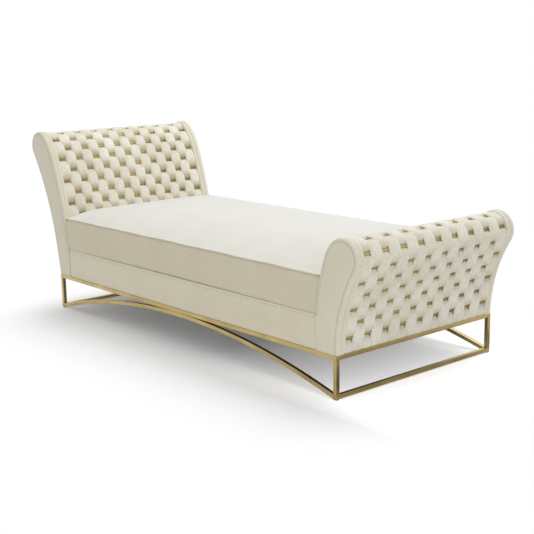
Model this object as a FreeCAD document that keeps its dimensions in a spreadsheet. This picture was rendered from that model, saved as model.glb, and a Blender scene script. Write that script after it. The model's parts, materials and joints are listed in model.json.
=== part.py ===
"""Double-ended velvet daybed on a square-tube metal base, in millimetres and degrees.

The origin is on the floor under the middle of the whole length. The head end is at -X, the foot end
at +X, the long front at -Y and up is +Z. The head curls out further than the foot, so the middle of
the metal base lies a little towards the foot. Both ends are worked in (u, z): u runs outwards from the
middle of the base.
"""
import FreeCAD, Part
import math
import os
import Sketcher
from FreeCAD import Placement, Rotation, Vector

DRIVING = [
    ("base_length", 1856, "metal base, outside length"),
    ("base_width", 850, "metal base and upholstery, outside width"),
    ("base_height", 160, "floor to the top of the metal base"),
    ("tube_size", 16, "side of the square base tube"),
    ("tube_wall", 1.5, "wall of the base tube"),
    ("weld_gap", 0.2, "root gap where the arch meets the top rail"),
    ("cross_bar_spacing", 620, "distance between the base's cross bars"),
    ("glide_width", 13, "floor glide, each way"),
    ("glide_height", 3, "floor glide under the corner posts"),
    ("tab_width", 30, "fixing tab along the rail"),
    ("tab_thickness", 3, "fixing tab plate"),
    ("tab_spacing", 960, "distance between fixing tabs"),
    ("tab_slot_width", 6.4, "open screw slot in the fixing tab"),
    ("tab_slot_depth", 15, "open screw slot, from the edge of the tab"),
    ("cover_thickness", 1.2, "dust cover"),
    ("cover_setback", 3, "dust cover edge inside the base edge"),
    ("seat_rail_height", 118, "seat box rails, upright"),
    ("seat_rail_thickness", 22, "seat box rails"),
    ("seat_rail_setback", 6, "side rail end inside the plywood shell"),
    ("slat_width", 60, "seat box slat"),
    ("slat_thickness", 22, "seat box slat"),
    ("slat_spacing", 420, "distance between slats"),
    ("block_leg", 60, "corner block, along each rail"),
    ("block_height", 80, "corner block, upright"),
    ("webbing_width", 50, "seat webbing"),
    ("webbing_thickness", 1.6, "seat webbing"),
    ("cross_webbing_pitch", 116, "spacing of the cross webbing"),
    ("long_webbing_pitch", 130, "spacing of the long webbing"),
    ("deck_thickness", 5.6, "deck pad over the webbing"),
    ("welt_diameter", 6, "welt on the top edge of the rail panels"),
    ("panel_crown", 4, "swell of the rail panels"),
    ("soft_clearance", 0.3, "gap round upholstered pieces"),
    ("mattress_height", 142, "mattress, base to top seam"),
    ("mattress_crown", 70, "mattress top above its seam, in the middle"),
    ("mattress_head_crown", 20, "mattress top above its seam, at the head"),
    ("mattress_foot_crown", 40, "mattress top above its seam, at the foot"),
    ("mattress_shoulder", 0.6, "share of the mattress width under the level part of its crown"),
    ("mattress_squareness", 4, "power by which the crown falls to the side seams"),
    ("mattress_side_swell", 4, "boxing swell between its seams"),
    ("mattress_draw_in", 5, "seams drawn in at mid length"),
    ("mattress_head_fall", 280, "length over which the crown falls to the head"),
    ("mattress_foot_fall", 180, "length over which the crown falls to the foot"),
    ("mattress_end_gap", 3, "mattress to the woven ends"),
    ("mattress_cloth", 3, "mattress cover and wadding over the foam block"),
    ("facing_thickness", 20, "padded facing on the sides of the ends"),
    ("edge_roll_depth", 12, "padded roll round the facing"),
    ("edge_roll_bevel", 7, "edge roll falling away at its outer edge"),
    ("border_width", 18, "plain border beside the weave"),
    ("strap_count", 17, "woven straps across an end"),
    ("strap_gap", 0.8, "gap between neighbouring straps"),
    ("row_pitch", 53.5, "bar to bar, down the inner faces"),
    ("head_back_row_pitch", 53.5, "bar to bar, up the back of the head"),
    ("foot_back_row_pitch", 52.3, "bar to bar, up the back of the foot"),
    ("head_crest_row_pitch", 53.5, "bar to bar, over the crest of the head"),
    ("foot_crest_row_pitch", 77, "bar to bar, over the crest of the foot"),
    ("wide_row", 1.2, "share of the spacing over which a strap bends midway between rows"),
    ("back_weave_lift", 10, "weave drawn straight across the hollow of the back, out of the outline"),
    ("back_weave_blend", 55, "length over which the weave comes back to the outline"),
    ("weave_depth", 27, "outline down to the shell under the weave"),
    ("strap_crest_depth", 3, "outline down to the top of a strap"),
    ("strap_thickness", 4, "strap where it goes under a bar"),
    ("strap_seat_gap", 5.1, "pinched strap to the shell under it"),
    ("bar_height", 12, "woven bar, across its face"),
    ("bar_thickness", 4.5, "woven bar, back to crown"),
    ("bar_edge", 1, "square edge of the bar, under its bevel"),
    ("bar_bevel", 3, "bevel along both front edges of the bar"),
    ("bar_flat_margin", 2, "strap stays level past the bar"),
    ("pillow_crown", 30, "level top of a strap's pillow, over a bar"),
    ("bar_clearance", 0.5, "bar to the strap under it"),
    ("strap_lift", 4, "bar to the strap over it"),
    ("weave_start", 2, "woven straps clear of their lower ends"),
    ("shell_thickness", 8, "bent plywood shell round the end"),
    ("rib_thickness", 18, "plywood ribs"),
    ("rib_lap", 120, "rib foot along the side rail"),
    ("crest_rail_side", 20, "square crest rail"),
    ("crest_rail_clearance", 0.2, "notch round the crest rail"),
    ("batten_width", 40, "batten, upright"),
    ("batten_thickness", 18, "batten, front to back"),
    ("batten_spacing", 130, "height between battens"),
    ("shoulder_lean", 45, "lean where the crest roll runs into the shoulder"),
    ("head_roll_overhang", 133, "head roll centre beyond the base end"),
    ("head_roll_rise", 467, "head roll centre above the deck"),
    ("head_roll_radius", 65, "head crest roll"),
    ("head_outer_lean", 33, "lean of the head's back where it meets the roll"),
    ("head_shoulder_radius", 296, "head shoulder under the roll"),
    ("head_inner_lean", 21.5, "lean of the head's inner face under the shoulder"),
    ("head_depth", 88, "head end, along the seat at deck level"),
    ("foot_roll_overhang", 27, "foot roll centre beyond the base end"),
    ("foot_roll_rise", 215, "foot roll centre above the deck"),
    ("foot_roll_radius", 72, "foot crest roll"),
    ("foot_outer_lean", 32, "lean of the foot's back where it meets the roll"),
    ("foot_shoulder_radius", 130, "foot shoulder under the roll"),
    ("foot_inner_lean", 22, "lean of the foot's inner face under the shoulder"),
    ("foot_depth", 103, "foot end, along the seat at deck level"),
]

doc = FreeCAD.newDocument("daybed")
sheet = doc.addObject("Spreadsheet::Sheet", "sizes")
for row, (alias, value, meaning) in enumerate(DRIVING, start=1):
    sheet.set(f"A{row}", meaning)
    sheet.set(f"B{row}", str(value))
    sheet.setAlias(f"B{row}", alias)
doc.recompute()

nodes = []


def number(text):
    """The value of an expression on the sheet."""
    return float(sheet.evalExpression(text))


def keep(piece, label):
    """Give a finished piece its node name."""
    piece.Label = label
    nodes.append(piece)
    return piece


# Levels and planes that several pieces share, as expressions on the sheet
half_length = "(sizes.base_length / 2)"
half_width = "(sizes.base_width / 2)"
head_reach = "(sizes.head_roll_overhang + sizes.head_roll_radius)"
foot_reach = "(sizes.foot_roll_overhang + sizes.foot_roll_radius)"
base_middle = f"(({head_reach} - {foot_reach}) / 2)"
top_rail_floor = "(sizes.base_height - sizes.tube_size)"
box_floor = "(sizes.base_height + sizes.cover_thickness)"
rail_top = f"({box_floor} + sizes.seat_rail_height)"
long_webbing_floor = f"({rail_top} + sizes.webbing_thickness)"
deck_floor = f"({long_webbing_floor} + sizes.webbing_thickness)"
deck_top = f"({deck_floor} + sizes.deck_thickness)"
facing_back = f"({half_width} - sizes.facing_thickness)"
rib_face = f"({facing_back} - sizes.soft_clearance)"
rib_back = f"({rib_face} - sizes.rib_thickness)"
seat_rail_back = f"({rib_back} - sizes.seat_rail_thickness)"
shell_back = "(sizes.weave_depth + sizes.shell_thickness)"
seat_rail_end = f"({half_length} - {shell_back} - sizes.seat_rail_setback)"
panel_top = f"({deck_top} - sizes.welt_diameter)"
head_deck = f"({half_length} - sizes.head_depth)"
foot_deck = f"({half_length} - sizes.foot_depth)"
weave_half = f"({facing_back} - sizes.border_width)"


# Ways of making pieces
def place(piece, base, turn=Rotation()):
    """Turn a piece and set it at a point counted from the floor under the middle of the base."""
    piece.Placement = Placement(Vector(), turn)
    along, across, up = base
    for axis, text in zip("xyz", (f"{base_middle} + {along}", across, up)):
        piece.setExpression(f"Placement.Base.{axis}", text)


def block(name, size, corner):
    """A square-edged piece: three sizes and its lowest corner from the base's middle, as expressions."""
    box = doc.addObject("Part::Box", name)
    for edge, text in zip(("Length", "Width", "Height"), size):
        box.setExpression(edge, text)
    place(box, corner)
    return box


def group(label, members):
    """Like pieces that share one node."""
    compound = doc.addObject("Part::Compound", label)
    compound.Links = members
    return keep(compound, label)


def sketch_on(body, role, name):
    """An empty sketch on one of the body's own origin planes."""
    plane = [feature for feature in body.Origin.OriginFeatures if feature.Role == role][0]
    sketch = body.newObject("Sketcher::SketchObject", name)
    sketch.AttachmentSupport = (plane, [""])
    sketch.MapMode = "FlatFace"
    return sketch


def bind(sketch, kind, places, text):
    """A dimension whose value is an expression."""
    index = sketch.addConstraint(Sketcher.Constraint(kind, *places, number(text)))
    sketch.setExpression(f"Constraints[{index}]", text)


def draw_polygon(sketch, corners):
    """A closed outline whose corners are pairs of expressions."""
    points = [Vector(number(across), number(up), 0) for across, up in corners]
    count = len(points)
    first = sketch.GeometryCount
    for i in range(count):
        sketch.addGeometry(Part.LineSegment(points[i], points[(i + 1) % count]), False)
    for i in range(count):
        sketch.addConstraint(Sketcher.Constraint("Coincident", first + i, 2, first + (i + 1) % count, 1))
    for i, (across, up) in enumerate(corners):
        bind(sketch, "DistanceX", (-1, 1, first + i, 1), across)
        bind(sketch, "DistanceY", (-1, 1, first + i, 1), up)


def draw_rectangle(sketch, left, low, right, high):
    draw_polygon(sketch, [(left, low), (right, low), (right, high), (left, high)])


def pad(body, sketch, length, symmetric=False):
    feature = body.newObject("PartDesign::Pad", f"{body.Name}_pad")
    feature.Profile = sketch
    feature.setExpression("Length", length)
    if symmetric:
        feature.SideType = "Symmetric"
    return feature


def pocket(body, sketch, depth=None):
    """A cut both ways from the sketch, right through or to a depth in all."""
    feature = body.newObject("PartDesign::Pocket", f"{body.Name}_pocket")
    feature.Profile = sketch
    feature.SideType = "Symmetric"
    if depth:
        feature.setExpression("Length", depth)
    else:
        feature.Type = "ThroughAll"
    return feature


ALONG_X = Rotation()
ALONG_Y = Rotation(Vector(0, 0, 1), 90)
ALONG_Z = Rotation(Vector(0, 1, 0), -90)


def tube(label, length, middle, turn, mitre_side=0):
    """A hollow square tube about its middle, with mitred ends where it turns a corner.

    mitre_side is the side, -1 or +1 on its own Y axis, where a mitred tube is longest.
    """
    body = doc.addObject("PartDesign::Body", label)
    section = sketch_on(body, "YZ_Plane", f"{label}_section")
    outer = "(sizes.tube_size / 2)"
    bore = "(sizes.tube_size / 2 - sizes.tube_wall)"
    for reach in (outer, bore):
        draw_rectangle(section, f"-{reach}", f"-{reach}", reach, reach)
    pad(body, section, length, symmetric=True)
    if mitre_side:
        cut = sketch_on(body, "XY_Plane", f"{label}_mitres")
        near = f"({mitre_side} * 1.5 * sizes.tube_size)"
        far = f"({-mitre_side} * 1.5 * sizes.tube_size)"
        for end in (-1, 1):
            tip = f"({end} * ({length} / 2 + sizes.tube_size))"
            heel = f"({end} * ({length} / 2 - 2 * sizes.tube_size))"
            draw_polygon(cut, [(tip, near), (tip, far), (heel, far)])
        pocket(body, cut)
    place(body, middle, turn)
    return body


# Metal base: mitred top frame, corner posts, floor rails across the ends, arches and cross bars
top_rail_middle = "(sizes.base_height - sizes.tube_size / 2)"
post_x = f"({half_length} - sizes.tube_size / 2)"
post_y = f"({half_width} - sizes.tube_size / 2)"
post_length = f"({top_rail_floor} - sizes.glide_height)"
post_middle = f"(sizes.glide_height + {post_length} / 2)"
floor_rail_middle = "(sizes.glide_height + sizes.tube_size / 2)"
inner_width = "(sizes.base_width - 2 * sizes.tube_size)"

for face, sign in (("front", -1), ("rear", 1)):
    label = f"base_top_rail_{face}"
    rail = tube(label, "sizes.base_length", ("0", f"{sign} * {post_y}", top_rail_middle), ALONG_X, sign)
    keep(rail, label)
for end, sign in (("head", -1), ("foot", 1)):
    label = f"base_top_rail_{end}"
    rail = tube(label, "sizes.base_width", (f"{sign} * {post_x}", "0", top_rail_middle), ALONG_Y, -sign)
    keep(rail, label)
    label = f"base_floor_rail_{end}"
    keep(tube(label, inner_width, (f"{sign} * {post_x}", "0", floor_rail_middle), ALONG_Y), label)
    for face, side in (("front", -1), ("rear", 1)):
        label = f"base_post_{end}_{face}"
        middle = (f"{sign} * {post_x}", f"{side} * {post_y}", post_middle)
        keep(tube(label, post_length, middle, ALONG_Z), label)

# Each arch springs from the foot of the posts and rises to touch the top rail in the middle
arch_reach = f"({half_length} - sizes.tube_size)"
arch_rise = f"({post_length} - sizes.tube_size - sizes.weld_gap)"
arch_radius = f"(({arch_reach} ^ 2 + {arch_rise} ^ 2) / (2 * {arch_rise}))"
arch_centre = f"({top_rail_floor} - sizes.weld_gap - sizes.tube_size / 2 - {arch_radius})"


def draw_arch(sketch, half_depth):
    """The side of the arch: two arcs about one centre, closed by upright ends."""
    centre = Vector(0, number(arch_centre), 0)
    reach = number(arch_reach)
    ends = []
    arcs = []
    for sign in (-1, 1):
        radius = f"({arch_radius} + {sign} * {half_depth})"
        turn = math.acos(reach / number(radius))
        circle = Part.Circle(centre, Vector(0, 0, 1), number(radius))
        arcs.append(sketch.addGeometry(Part.ArcOfCircle(circle, turn, math.pi - turn), False))
        index = arcs[-1]
        bind(sketch, "Radius", (index,), radius)
        bind(sketch, "DistanceX", (-1, 1, index, 3), "0")
        bind(sketch, "DistanceY", (-1, 1, index, 3), arch_centre)
        bind(sketch, "DistanceX", (-1, 1, index, 1), arch_reach)
        bind(sketch, "DistanceX", (-1, 1, index, 2), f"-{arch_reach}")
        height = centre.y + number(radius) * math.sin(turn)
        ends.append((Vector(reach, height, 0), Vector(-reach, height, 0)))
    for tip in (0, 1):
        line = sketch.addGeometry(Part.LineSegment(ends[0][tip], ends[1][tip]), False)
        for point, arc in ((1, arcs[0]), (2, arcs[1])):
            sketch.addConstraint(Sketcher.Constraint("Coincident", line, point, arc, tip + 1))


for face, sign in (("front", -1), ("rear", 1)):
    label = f"base_arch_{face}"
    arch = doc.addObject("PartDesign::Body", label)
    outside = sketch_on(arch, "XZ_Plane", f"{label}_outside")
    draw_arch(outside, "(sizes.tube_size / 2)")
    pad(arch, outside, "sizes.tube_size", symmetric=True)
    bore = sketch_on(arch, "XZ_Plane", f"{label}_bore")
    draw_arch(bore, "(sizes.tube_size / 2 - sizes.tube_wall)")
    pocket(arch, bore, "sizes.tube_size - 2 * sizes.tube_wall")
    place(arch, ("0", f"{sign} * {post_y}", "0"))
    keep(arch, label)

bars = []
for sign in (-1, 1):
    middle = (f"{sign} * sizes.cross_bar_spacing / 2", "0", top_rail_middle)
    bars.append(tube(f"base_cross_bar_{sign + 1}", inner_width, middle, ALONG_Y))
group("base_cross_bars", bars)

glides = []
glide_half = "(sizes.glide_width / 2)"
for i, (sign, side) in enumerate(((-1, -1), (-1, 1), (1, -1), (1, 1))):
    size = ("sizes.glide_width", "sizes.glide_width", "sizes.glide_height")
    corner = (f"{sign} * {post_x} - {glide_half}", f"{side} * {post_y} - {glide_half}", "0")
    glides.append(block(f"glide_{i}", size, corner))
group("floor_glides", glides)

# Fixing tabs welded inside the long top rails, slotted for the screws that hold the seat box down
tab_reach = f"({half_width} - sizes.tube_size - {seat_rail_back})"
tab_floor = "(sizes.base_height - sizes.tab_thickness)"
tabs = []
for i, (sign, side) in enumerate(((-1, -1), (1, -1), (-1, 1), (1, 1))):
    tab = doc.addObject("PartDesign::Body", f"fixing_tab_{i}")
    outline = sketch_on(tab, "XY_Plane", f"fixing_tab_{i}_outline")
    slot = "(sizes.tab_slot_width / 2)"
    slot_end = f"({tab_reach} - sizes.tab_slot_depth)"
    edge = "(sizes.tab_width / 2)"
    draw_polygon(outline, [(f"-{edge}", "0"), (edge, "0"), (edge, tab_reach), (slot, tab_reach),
                           (slot, slot_end), (f"-{slot}", slot_end), (f"-{slot}", tab_reach),
                           (f"-{edge}", tab_reach)])
    pad(tab, outline, "sizes.tab_thickness")
    turn = Rotation(Vector(0, 0, 1), 0 if side < 0 else 180)
    middle = (f"{sign} * sizes.tab_spacing / 2", f"{side} * ({half_width} - sizes.tube_size)", tab_floor)
    place(tab, middle, turn)
    tabs.append(tab)
group("base_fixing_tabs", tabs)

# Dust cover between the metal base and the seat box
cover_x = f"({half_length} - sizes.cover_setback)"
cover_y = f"({half_width} - sizes.cover_setback)"
cover = block("dust_cover", (f"2 * {cover_x}", f"2 * {cover_y}", "sizes.cover_thickness"),
              (f"-{cover_x}", f"-{cover_y}", "sizes.base_height"))
keep(cover, "dust_cover")

# Seat box: side rails, end rails, slats and corner blocks
for face, corner_y in (("front", f"-{rib_back}"), ("rear", seat_rail_back)):
    size = (f"2 * {seat_rail_end}", "sizes.seat_rail_thickness", "sizes.seat_rail_height")
    rail = block(f"seat_rail_{face}", size, (f"-{seat_rail_end}", corner_y, box_floor))
    keep(rail, f"seat_rail_{face}")

end_rail_height = "(sizes.seat_rail_height + sizes.webbing_thickness)"
inner_span = f"(2 * {seat_rail_back})"
end_rails = []
for end, corner in (("head", f"-{head_deck}"), ("foot", f"{foot_deck} - sizes.seat_rail_thickness")):
    size = ("sizes.seat_rail_thickness", inner_span, end_rail_height)
    end_rails.append(block(f"end_rail_{end}", size, (corner, f"-{seat_rail_back}", box_floor)))
group("seat_end_rails", end_rails)

slats = []
for i in (-1, 0, 1):
    size = ("sizes.slat_width", inner_span, "sizes.slat_thickness")
    corner = (f"{i} * sizes.slat_spacing - sizes.slat_width / 2", f"-{seat_rail_back}", box_floor)
    slats.append(block(f"slat_{i + 1}", size, corner))
group("seat_slats", slats)

blocks = []
for deck, sign in ((head_deck, -1), (foot_deck, 1)):
    for side in (-1, 1):
        name = f"corner_block_{sign + 1}{side + 1}"
        piece = doc.addObject("PartDesign::Body", name)
        triangle = sketch_on(piece, "XY_Plane", f"{name}_plan")
        legs = (f"{-sign} * sizes.block_leg", f"{-side} * sizes.block_leg")
        draw_polygon(triangle, [("0", "0"), (legs[0], "0"), ("0", legs[1])])
        pad(piece, triangle, "sizes.block_height")
        corner = (f"{sign} * ({deck} - sizes.seat_rail_thickness)", f"{side} * {seat_rail_back}", box_floor)
        place(piece, corner)
        blocks.append(piece)
group("corner_blocks", blocks)

# Webbing across and along the seat box, and the deck pad on it
webs = []
web_count = int((number(head_deck) + number(foot_deck)) / number("sizes.cross_webbing_pitch")) - 1
web_middle = f"(({foot_deck} - {head_deck}) / 2)"
for i in range(web_count):
    step = i - (web_count - 1) / 2
    edge = f"{web_middle} + {step} * sizes.cross_webbing_pitch - sizes.webbing_width / 2"
    size = ("sizes.webbing_width", f"2 * {rib_back}", "sizes.webbing_thickness")
    webs.append(block(f"cross_web_{i}", size, (edge, f"-{rib_back}", rail_top)))
group("seat_webbing_cross", webs)

webs = []
seat_length = f"({head_deck} + {foot_deck})"
for i in range(-2, 3):
    edge = f"{i} * sizes.long_webbing_pitch - sizes.webbing_width / 2"
    size = (seat_length, "sizes.webbing_width", "sizes.webbing_thickness")
    webs.append(block(f"long_web_{i + 2}", size, (f"-{head_deck}", edge, long_webbing_floor)))
group("seat_webbing_long", webs)

deck_pad = block("deck_pad", (seat_length, f"2 * {rib_face}", "sizes.deck_thickness"),
                 (f"-{head_deck}", f"-{rib_face}", deck_floor))
keep(deck_pad, "deck_pad")

# Spacer boards between the rib feet, level with the ribs
board_length = f"({seat_length} - 2 * sizes.rib_lap)"
board_height = f"({deck_floor} - {box_floor})"
boards = []
for face, corner_y in (("front", f"-{rib_face}"), ("rear", rib_back)):
    corner = (f"-{head_deck} + sizes.rib_lap", corner_y, box_floor)
    boards.append(block(f"rail_board_{face}", (board_length, "sizes.rib_thickness", board_height), corner))
group("rail_boards", boards)


# Soft pieces and curved pieces, worked out from the same sheet
def solid_piece(label, shape):
    feature = doc.addObject("Part::Feature", label)
    feature.Shape = shape
    feature.Placement = Placement()
    return keep(feature, label)


def prism(edges, low, high):
    """A flat outline in the XZ plane, thickened from one Y to another."""
    wire = Part.Wire(Part.__sortEdges__(edges))
    face = Part.Face(wire)
    return face.translated(Vector(0, low, 0)).extrude(Vector(0, high - low, 0))


gap = number("sizes.soft_clearance")
mirror_sides = (("front", -1), ("rear", 1))

# Rail panels, swelling a little between the base and their welt
panel_start = number(base_middle) - number(head_deck) + gap
panel_end = number(base_middle) + number(foot_deck) - gap
panel_low = number(box_floor) + gap
panel_high = number(panel_top) - gap
panel_crown = number("sizes.panel_crown")
welt_radius = number("sizes.welt_diameter") / 2
welts = []
for face, side in mirror_sides:
    back = side * number(facing_back)
    edge = side * (number(half_width) - panel_crown)
    crown = side * number(half_width)
    rim = [Vector(panel_start, back, panel_low), Vector(panel_start, edge, panel_low),
           Vector(panel_start, edge, panel_high), Vector(panel_start, back, panel_high)]
    swell = Part.Arc(rim[1], Vector(panel_start, crown, (panel_low + panel_high) / 2), rim[2]).toShape()
    lines = [Part.makeLine(rim[a], rim[b]) for a, b in ((0, 1), (2, 3), (3, 0))]
    section = Part.Face(Part.Wire(Part.__sortEdges__(lines + [swell])))
    solid_piece(f"rail_panel_{face}", section.extrude(Vector(panel_end - panel_start, 0, 0)))
    welt_y = side * (number(half_width) - welt_radius)
    welt_base = Vector(panel_start, welt_y, number(panel_top) + welt_radius - gap)
    welts.append(Part.makeCylinder(welt_radius - gap, panel_end - panel_start, welt_base, Vector(1, 0, 0)))
solid_piece("rail_welts", Part.makeCompound(welts))


class EndOutline:
    """One curled end from the side: four tangent arcs, up the back, over the crest, down to the deck.

    An arc is its centre, its radius, how the radius changes with depth under the outline, and the
    angles where it starts and stops.
    """

    def __init__(self, end, side):
        self.side = side
        base_end = number(half_length)
        self.floor = number("sizes.base_height")
        self.deck_u = base_end - number(f"sizes.{end}_depth")
        self.deck_z = number(deck_top)
        radius = number(f"sizes.{end}_roll_radius")
        outer = math.radians(number(f"sizes.{end}_outer_lean"))
        shoulder = math.radians(number("sizes.shoulder_lean"))
        inner = math.radians(number(f"sizes.{end}_inner_lean"))
        shoulder_radius = number(f"sizes.{end}_shoulder_radius")
        roll_u = base_end + number(f"sizes.{end}_roll_overhang")
        self.roll = (roll_u, self.deck_z + number(f"sizes.{end}_roll_rise"))

        back_way = (math.cos(outer), -math.sin(outer))
        back_top = self.along(self.roll, back_way, radius)
        back_foot = (base_end, self.floor)
        back_radius = self.reach(back_top, back_way, back_foot)
        back = self.along(back_top, back_way, back_radius)

        shoulder_way = (math.cos(shoulder), -math.sin(shoulder))
        shoulder_centre = self.along(self.roll, shoulder_way, shoulder_radius - radius)
        inner_way = (math.cos(inner), -math.sin(inner))
        inner_top = self.along(shoulder_centre, inner_way, -shoulder_radius)
        deck_point = (self.deck_u, self.deck_z)
        inner_radius = self.reach(inner_top, inner_way, deck_point)
        inner_centre = self.along(inner_top, inner_way, inner_radius)

        self.arcs = [
            (back, back_radius, 1, self.angle(back, back_foot), math.pi - outer),
            (self.roll, radius, -1, -outer, math.pi - shoulder),
            (shoulder_centre, shoulder_radius, -1, math.pi - shoulder, math.pi - inner),
            (inner_centre, inner_radius, -1, math.pi - inner, self.angle(inner_centre, deck_point)),
        ]
        self.lengths = [arc[1] * abs(arc[4] - arc[3]) for arc in self.arcs]
        self.back_pitch = number(f"sizes.{end}_back_row_pitch")
        self.crest_pitch = number(f"sizes.{end}_crest_row_pitch")

    @staticmethod
    def along(point, way, distance):
        return (point[0] + way[0] * distance, point[1] + way[1] * distance)

    @staticmethod
    def reach(top, way, end):
        """Radius of the arc that leaves top square to way and passes through end."""
        du = end[0] - top[0]
        dz = end[1] - top[1]
        return (du * du + dz * dz) / (2 * (du * way[0] + dz * way[1]))

    @staticmethod
    def angle(centre, point):
        return math.atan2(point[1] - centre[1], point[0] - centre[0]) % (2 * math.pi)

    def vector(self, u, z):
        return Vector(number(base_middle) + self.side * u, 0, z)

    def on_arc(self, index, angle, depth):
        centre, radius, growth, _, _ = self.arcs[index]
        rim = radius + growth * depth
        return self.vector(centre[0] + rim * math.cos(angle), centre[1] + rim * math.sin(angle))

    def at(self, travel, depth):
        """The point at a distance along the outline from its outer foot, and a depth under it."""
        left = travel
        for index, length in enumerate(self.lengths):
            if left <= length or index == len(self.arcs) - 1:
                break
            left -= length
        _, radius, _, start, stop = self.arcs[index]
        return self.on_arc(index, start + math.copysign(left / radius, stop - start), depth)

    def row_travel(self, row):
        """Distance along the outline to a row of the weave; the roll has a spacing of its own."""
        back_end = self.lengths[0]
        roll_end = self.lengths[0] + self.lengths[1]
        back_rows = back_end / self.back_pitch
        roll_rows = back_rows + self.lengths[1] / self.crest_pitch
        if row <= back_rows:
            return row * self.back_pitch
        if row <= roll_rows:
            return back_end + (row - back_rows) * self.crest_pitch
        return roll_end + (row - roll_rows) * row_pitch

    def weave_lift(self, travel):
        """How far the weave, drawn straight across the hollow of the back, stands out of the outline."""
        blend = number("sizes.back_weave_blend")
        share = min(1, travel / blend, (self.lengths[0] - travel) / blend)
        return max(0, share) * number("sizes.back_weave_lift")

    def level_angle(self, index, level, depth):
        """Where an upright arc, at a depth, crosses a level."""
        centre, radius, growth, _, _ = self.arcs[index]
        return math.pi - math.asin((level - centre[1]) / (radius + growth * depth))

    def travel_to_inner(self, level):
        """Distance along the outline to a level on the inner face."""
        _, radius, _, start, _ = self.arcs[-1]
        turn = abs(self.level_angle(len(self.arcs) - 1, level, 0) - start)
        return sum(self.lengths[:-1]) + radius * turn

    def chain(self, depth, outer_level, inner_level):
        """The outline at a depth, between a level on the back and a level on the inner face."""
        edges = []
        last = len(self.arcs) - 1
        for index, (_, _, _, start, stop) in enumerate(self.arcs):
            if index == 0:
                start = self.level_angle(0, outer_level, depth)
            if index == last:
                stop = self.level_angle(last, inner_level, depth)
            points = [self.on_arc(index, angle, depth) for angle in (start, (start + stop) / 2, stop)]
            edges.append(Part.Arc(*points).toShape())
        return edges

    def tips(self, depth, outer_level, inner_level):
        """Both ends of such a chain."""
        last = len(self.arcs) - 1
        outer_tip = self.on_arc(0, self.level_angle(0, outer_level, depth), depth)
        inner_tip = self.on_arc(last, self.level_angle(last, inner_level, depth), depth)
        return outer_tip, inner_tip

    def arm_middle(self, depth, level):
        """The point midway between the back and the inner face at a level."""
        outer_tip, inner_tip = self.tips(depth, level, level)
        return (outer_tip + inner_tip) * 0.5

    def band(self, shallow, deep, outer_level, inner_level):
        """The closed outline of a layer between two depths."""
        edges = self.chain(shallow, outer_level, inner_level) + self.chain(deep, outer_level, inner_level)
        upper_tips = self.tips(shallow, outer_level, inner_level)
        lower_tips = self.tips(deep, outer_level, inner_level)
        return edges + [Part.makeLine(one, two) for one, two in zip(upper_tips, lower_tips)]


def path_of_lines(points):
    return [Part.makeLine(a, b) for a, b in zip(points, points[1:])]


# Depths under the outline, from the weave down to the ribs
weave_depth = number("sizes.weave_depth")
shell_depth = number(shell_back)
rib_depth = shell_depth + gap
strap_bottom_under = weave_depth - number("sizes.strap_seat_gap")
strap_top_under = strap_bottom_under - number("sizes.strap_thickness")
bar_back = strap_top_under - number("sizes.bar_clearance")
bar_front = bar_back - number("sizes.bar_thickness")
strap_bottom_over = bar_front - number("sizes.strap_lift")
strap_crest = number("sizes.strap_crest_depth")

row_pitch = number("sizes.row_pitch")
wide_row = number("sizes.wide_row")
bar_half = number("sizes.bar_height") / 2
flat_half = bar_half + number("sizes.bar_flat_margin")
pillow_half = number("sizes.pillow_crown") / 2
strap_count = int(number("sizes.strap_count"))
strap_pitch = 2 * number(weave_half) / strap_count
strap_width = strap_pitch - number("sizes.strap_gap")
weave_start = number("sizes.weave_start")
seat_floor = number(box_floor)
inner_floor = number(rail_top) + gap


def strap_edges(outline, phase, stop):
    """The side of one strap: pillows over the bars, pinched level where it goes under them.

    phase 0 goes under the odd rows, phase 1 under the even rows.
    """
    upper = []
    lower = []
    row = -1
    while outline.row_travel(row - 2) < stop:
        middle = outline.row_travel(row)
        after = outline.row_travel(row + 1)
        lift = outline.weave_lift(middle)
        pinched = row % 2 != phase
        half = flat_half if pinched else pillow_half
        top = (strap_top_under if pinched else strap_crest) - lift
        upper += [(middle - half, top), (middle + half, top)]
        lower.append((middle, (strap_bottom_under if pinched else strap_bottom_over) - lift))
        if after - middle > wide_row * row_pitch:
            lift = (lift + outline.weave_lift(after)) / 2
            upper.append(((middle + after) / 2, (strap_top_under + strap_crest) / 2 - lift))
            lower.append(((middle + after) / 2, (strap_bottom_under + strap_bottom_over) / 2 - lift))
        row += 1

    def side_line(knots):
        """The points of a stepped line between the strap's two ends."""
        line = []
        for (start, deep), (end, shallow) in zip(knots, knots[1:]):
            near = max(start, weave_start)
            far = min(end, stop)
            if near >= far:
                continue
            slope = (shallow - deep) / (end - start)
            if not line:
                line.append(outline.at(near, deep + slope * (near - start)))
            line.append(outline.at(far, deep + slope * (far - start)))
        return line

    points = side_line(upper) + side_line(lower)[::-1]
    return path_of_lines(points + points[:1])


def bar_edges(outline, row):
    """A flat bar with bevelled front edges, square to the outline at its row."""
    travel = outline.row_travel(row)
    back = outline.at(travel, bar_back - outline.weave_lift(travel))
    outward = (outline.at(travel, -number("sizes.back_weave_lift")) - back).normalize()
    across = outward.cross(Vector(0, 1, 0))
    edge = outward * number("sizes.bar_edge")
    crown = back + outward * number("sizes.bar_thickness")
    shoulder = across * (bar_half - number("sizes.bar_bevel"))
    rim = across * bar_half
    corners = [back - rim, back + rim, back + rim + edge]
    corners += [crown + shoulder, crown - shoulder, back - rim + edge]
    return path_of_lines(corners + corners[:1])


def crest_bar(outline, side):
    """A square bar along the middle of the crest roll, from facing to facing."""
    span = 2 * number(rib_face)
    corner = outline.vector(*outline.roll) - Vector(side, span, side) * 0.5
    return Part.makeBox(side, span, side, corner)


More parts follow.
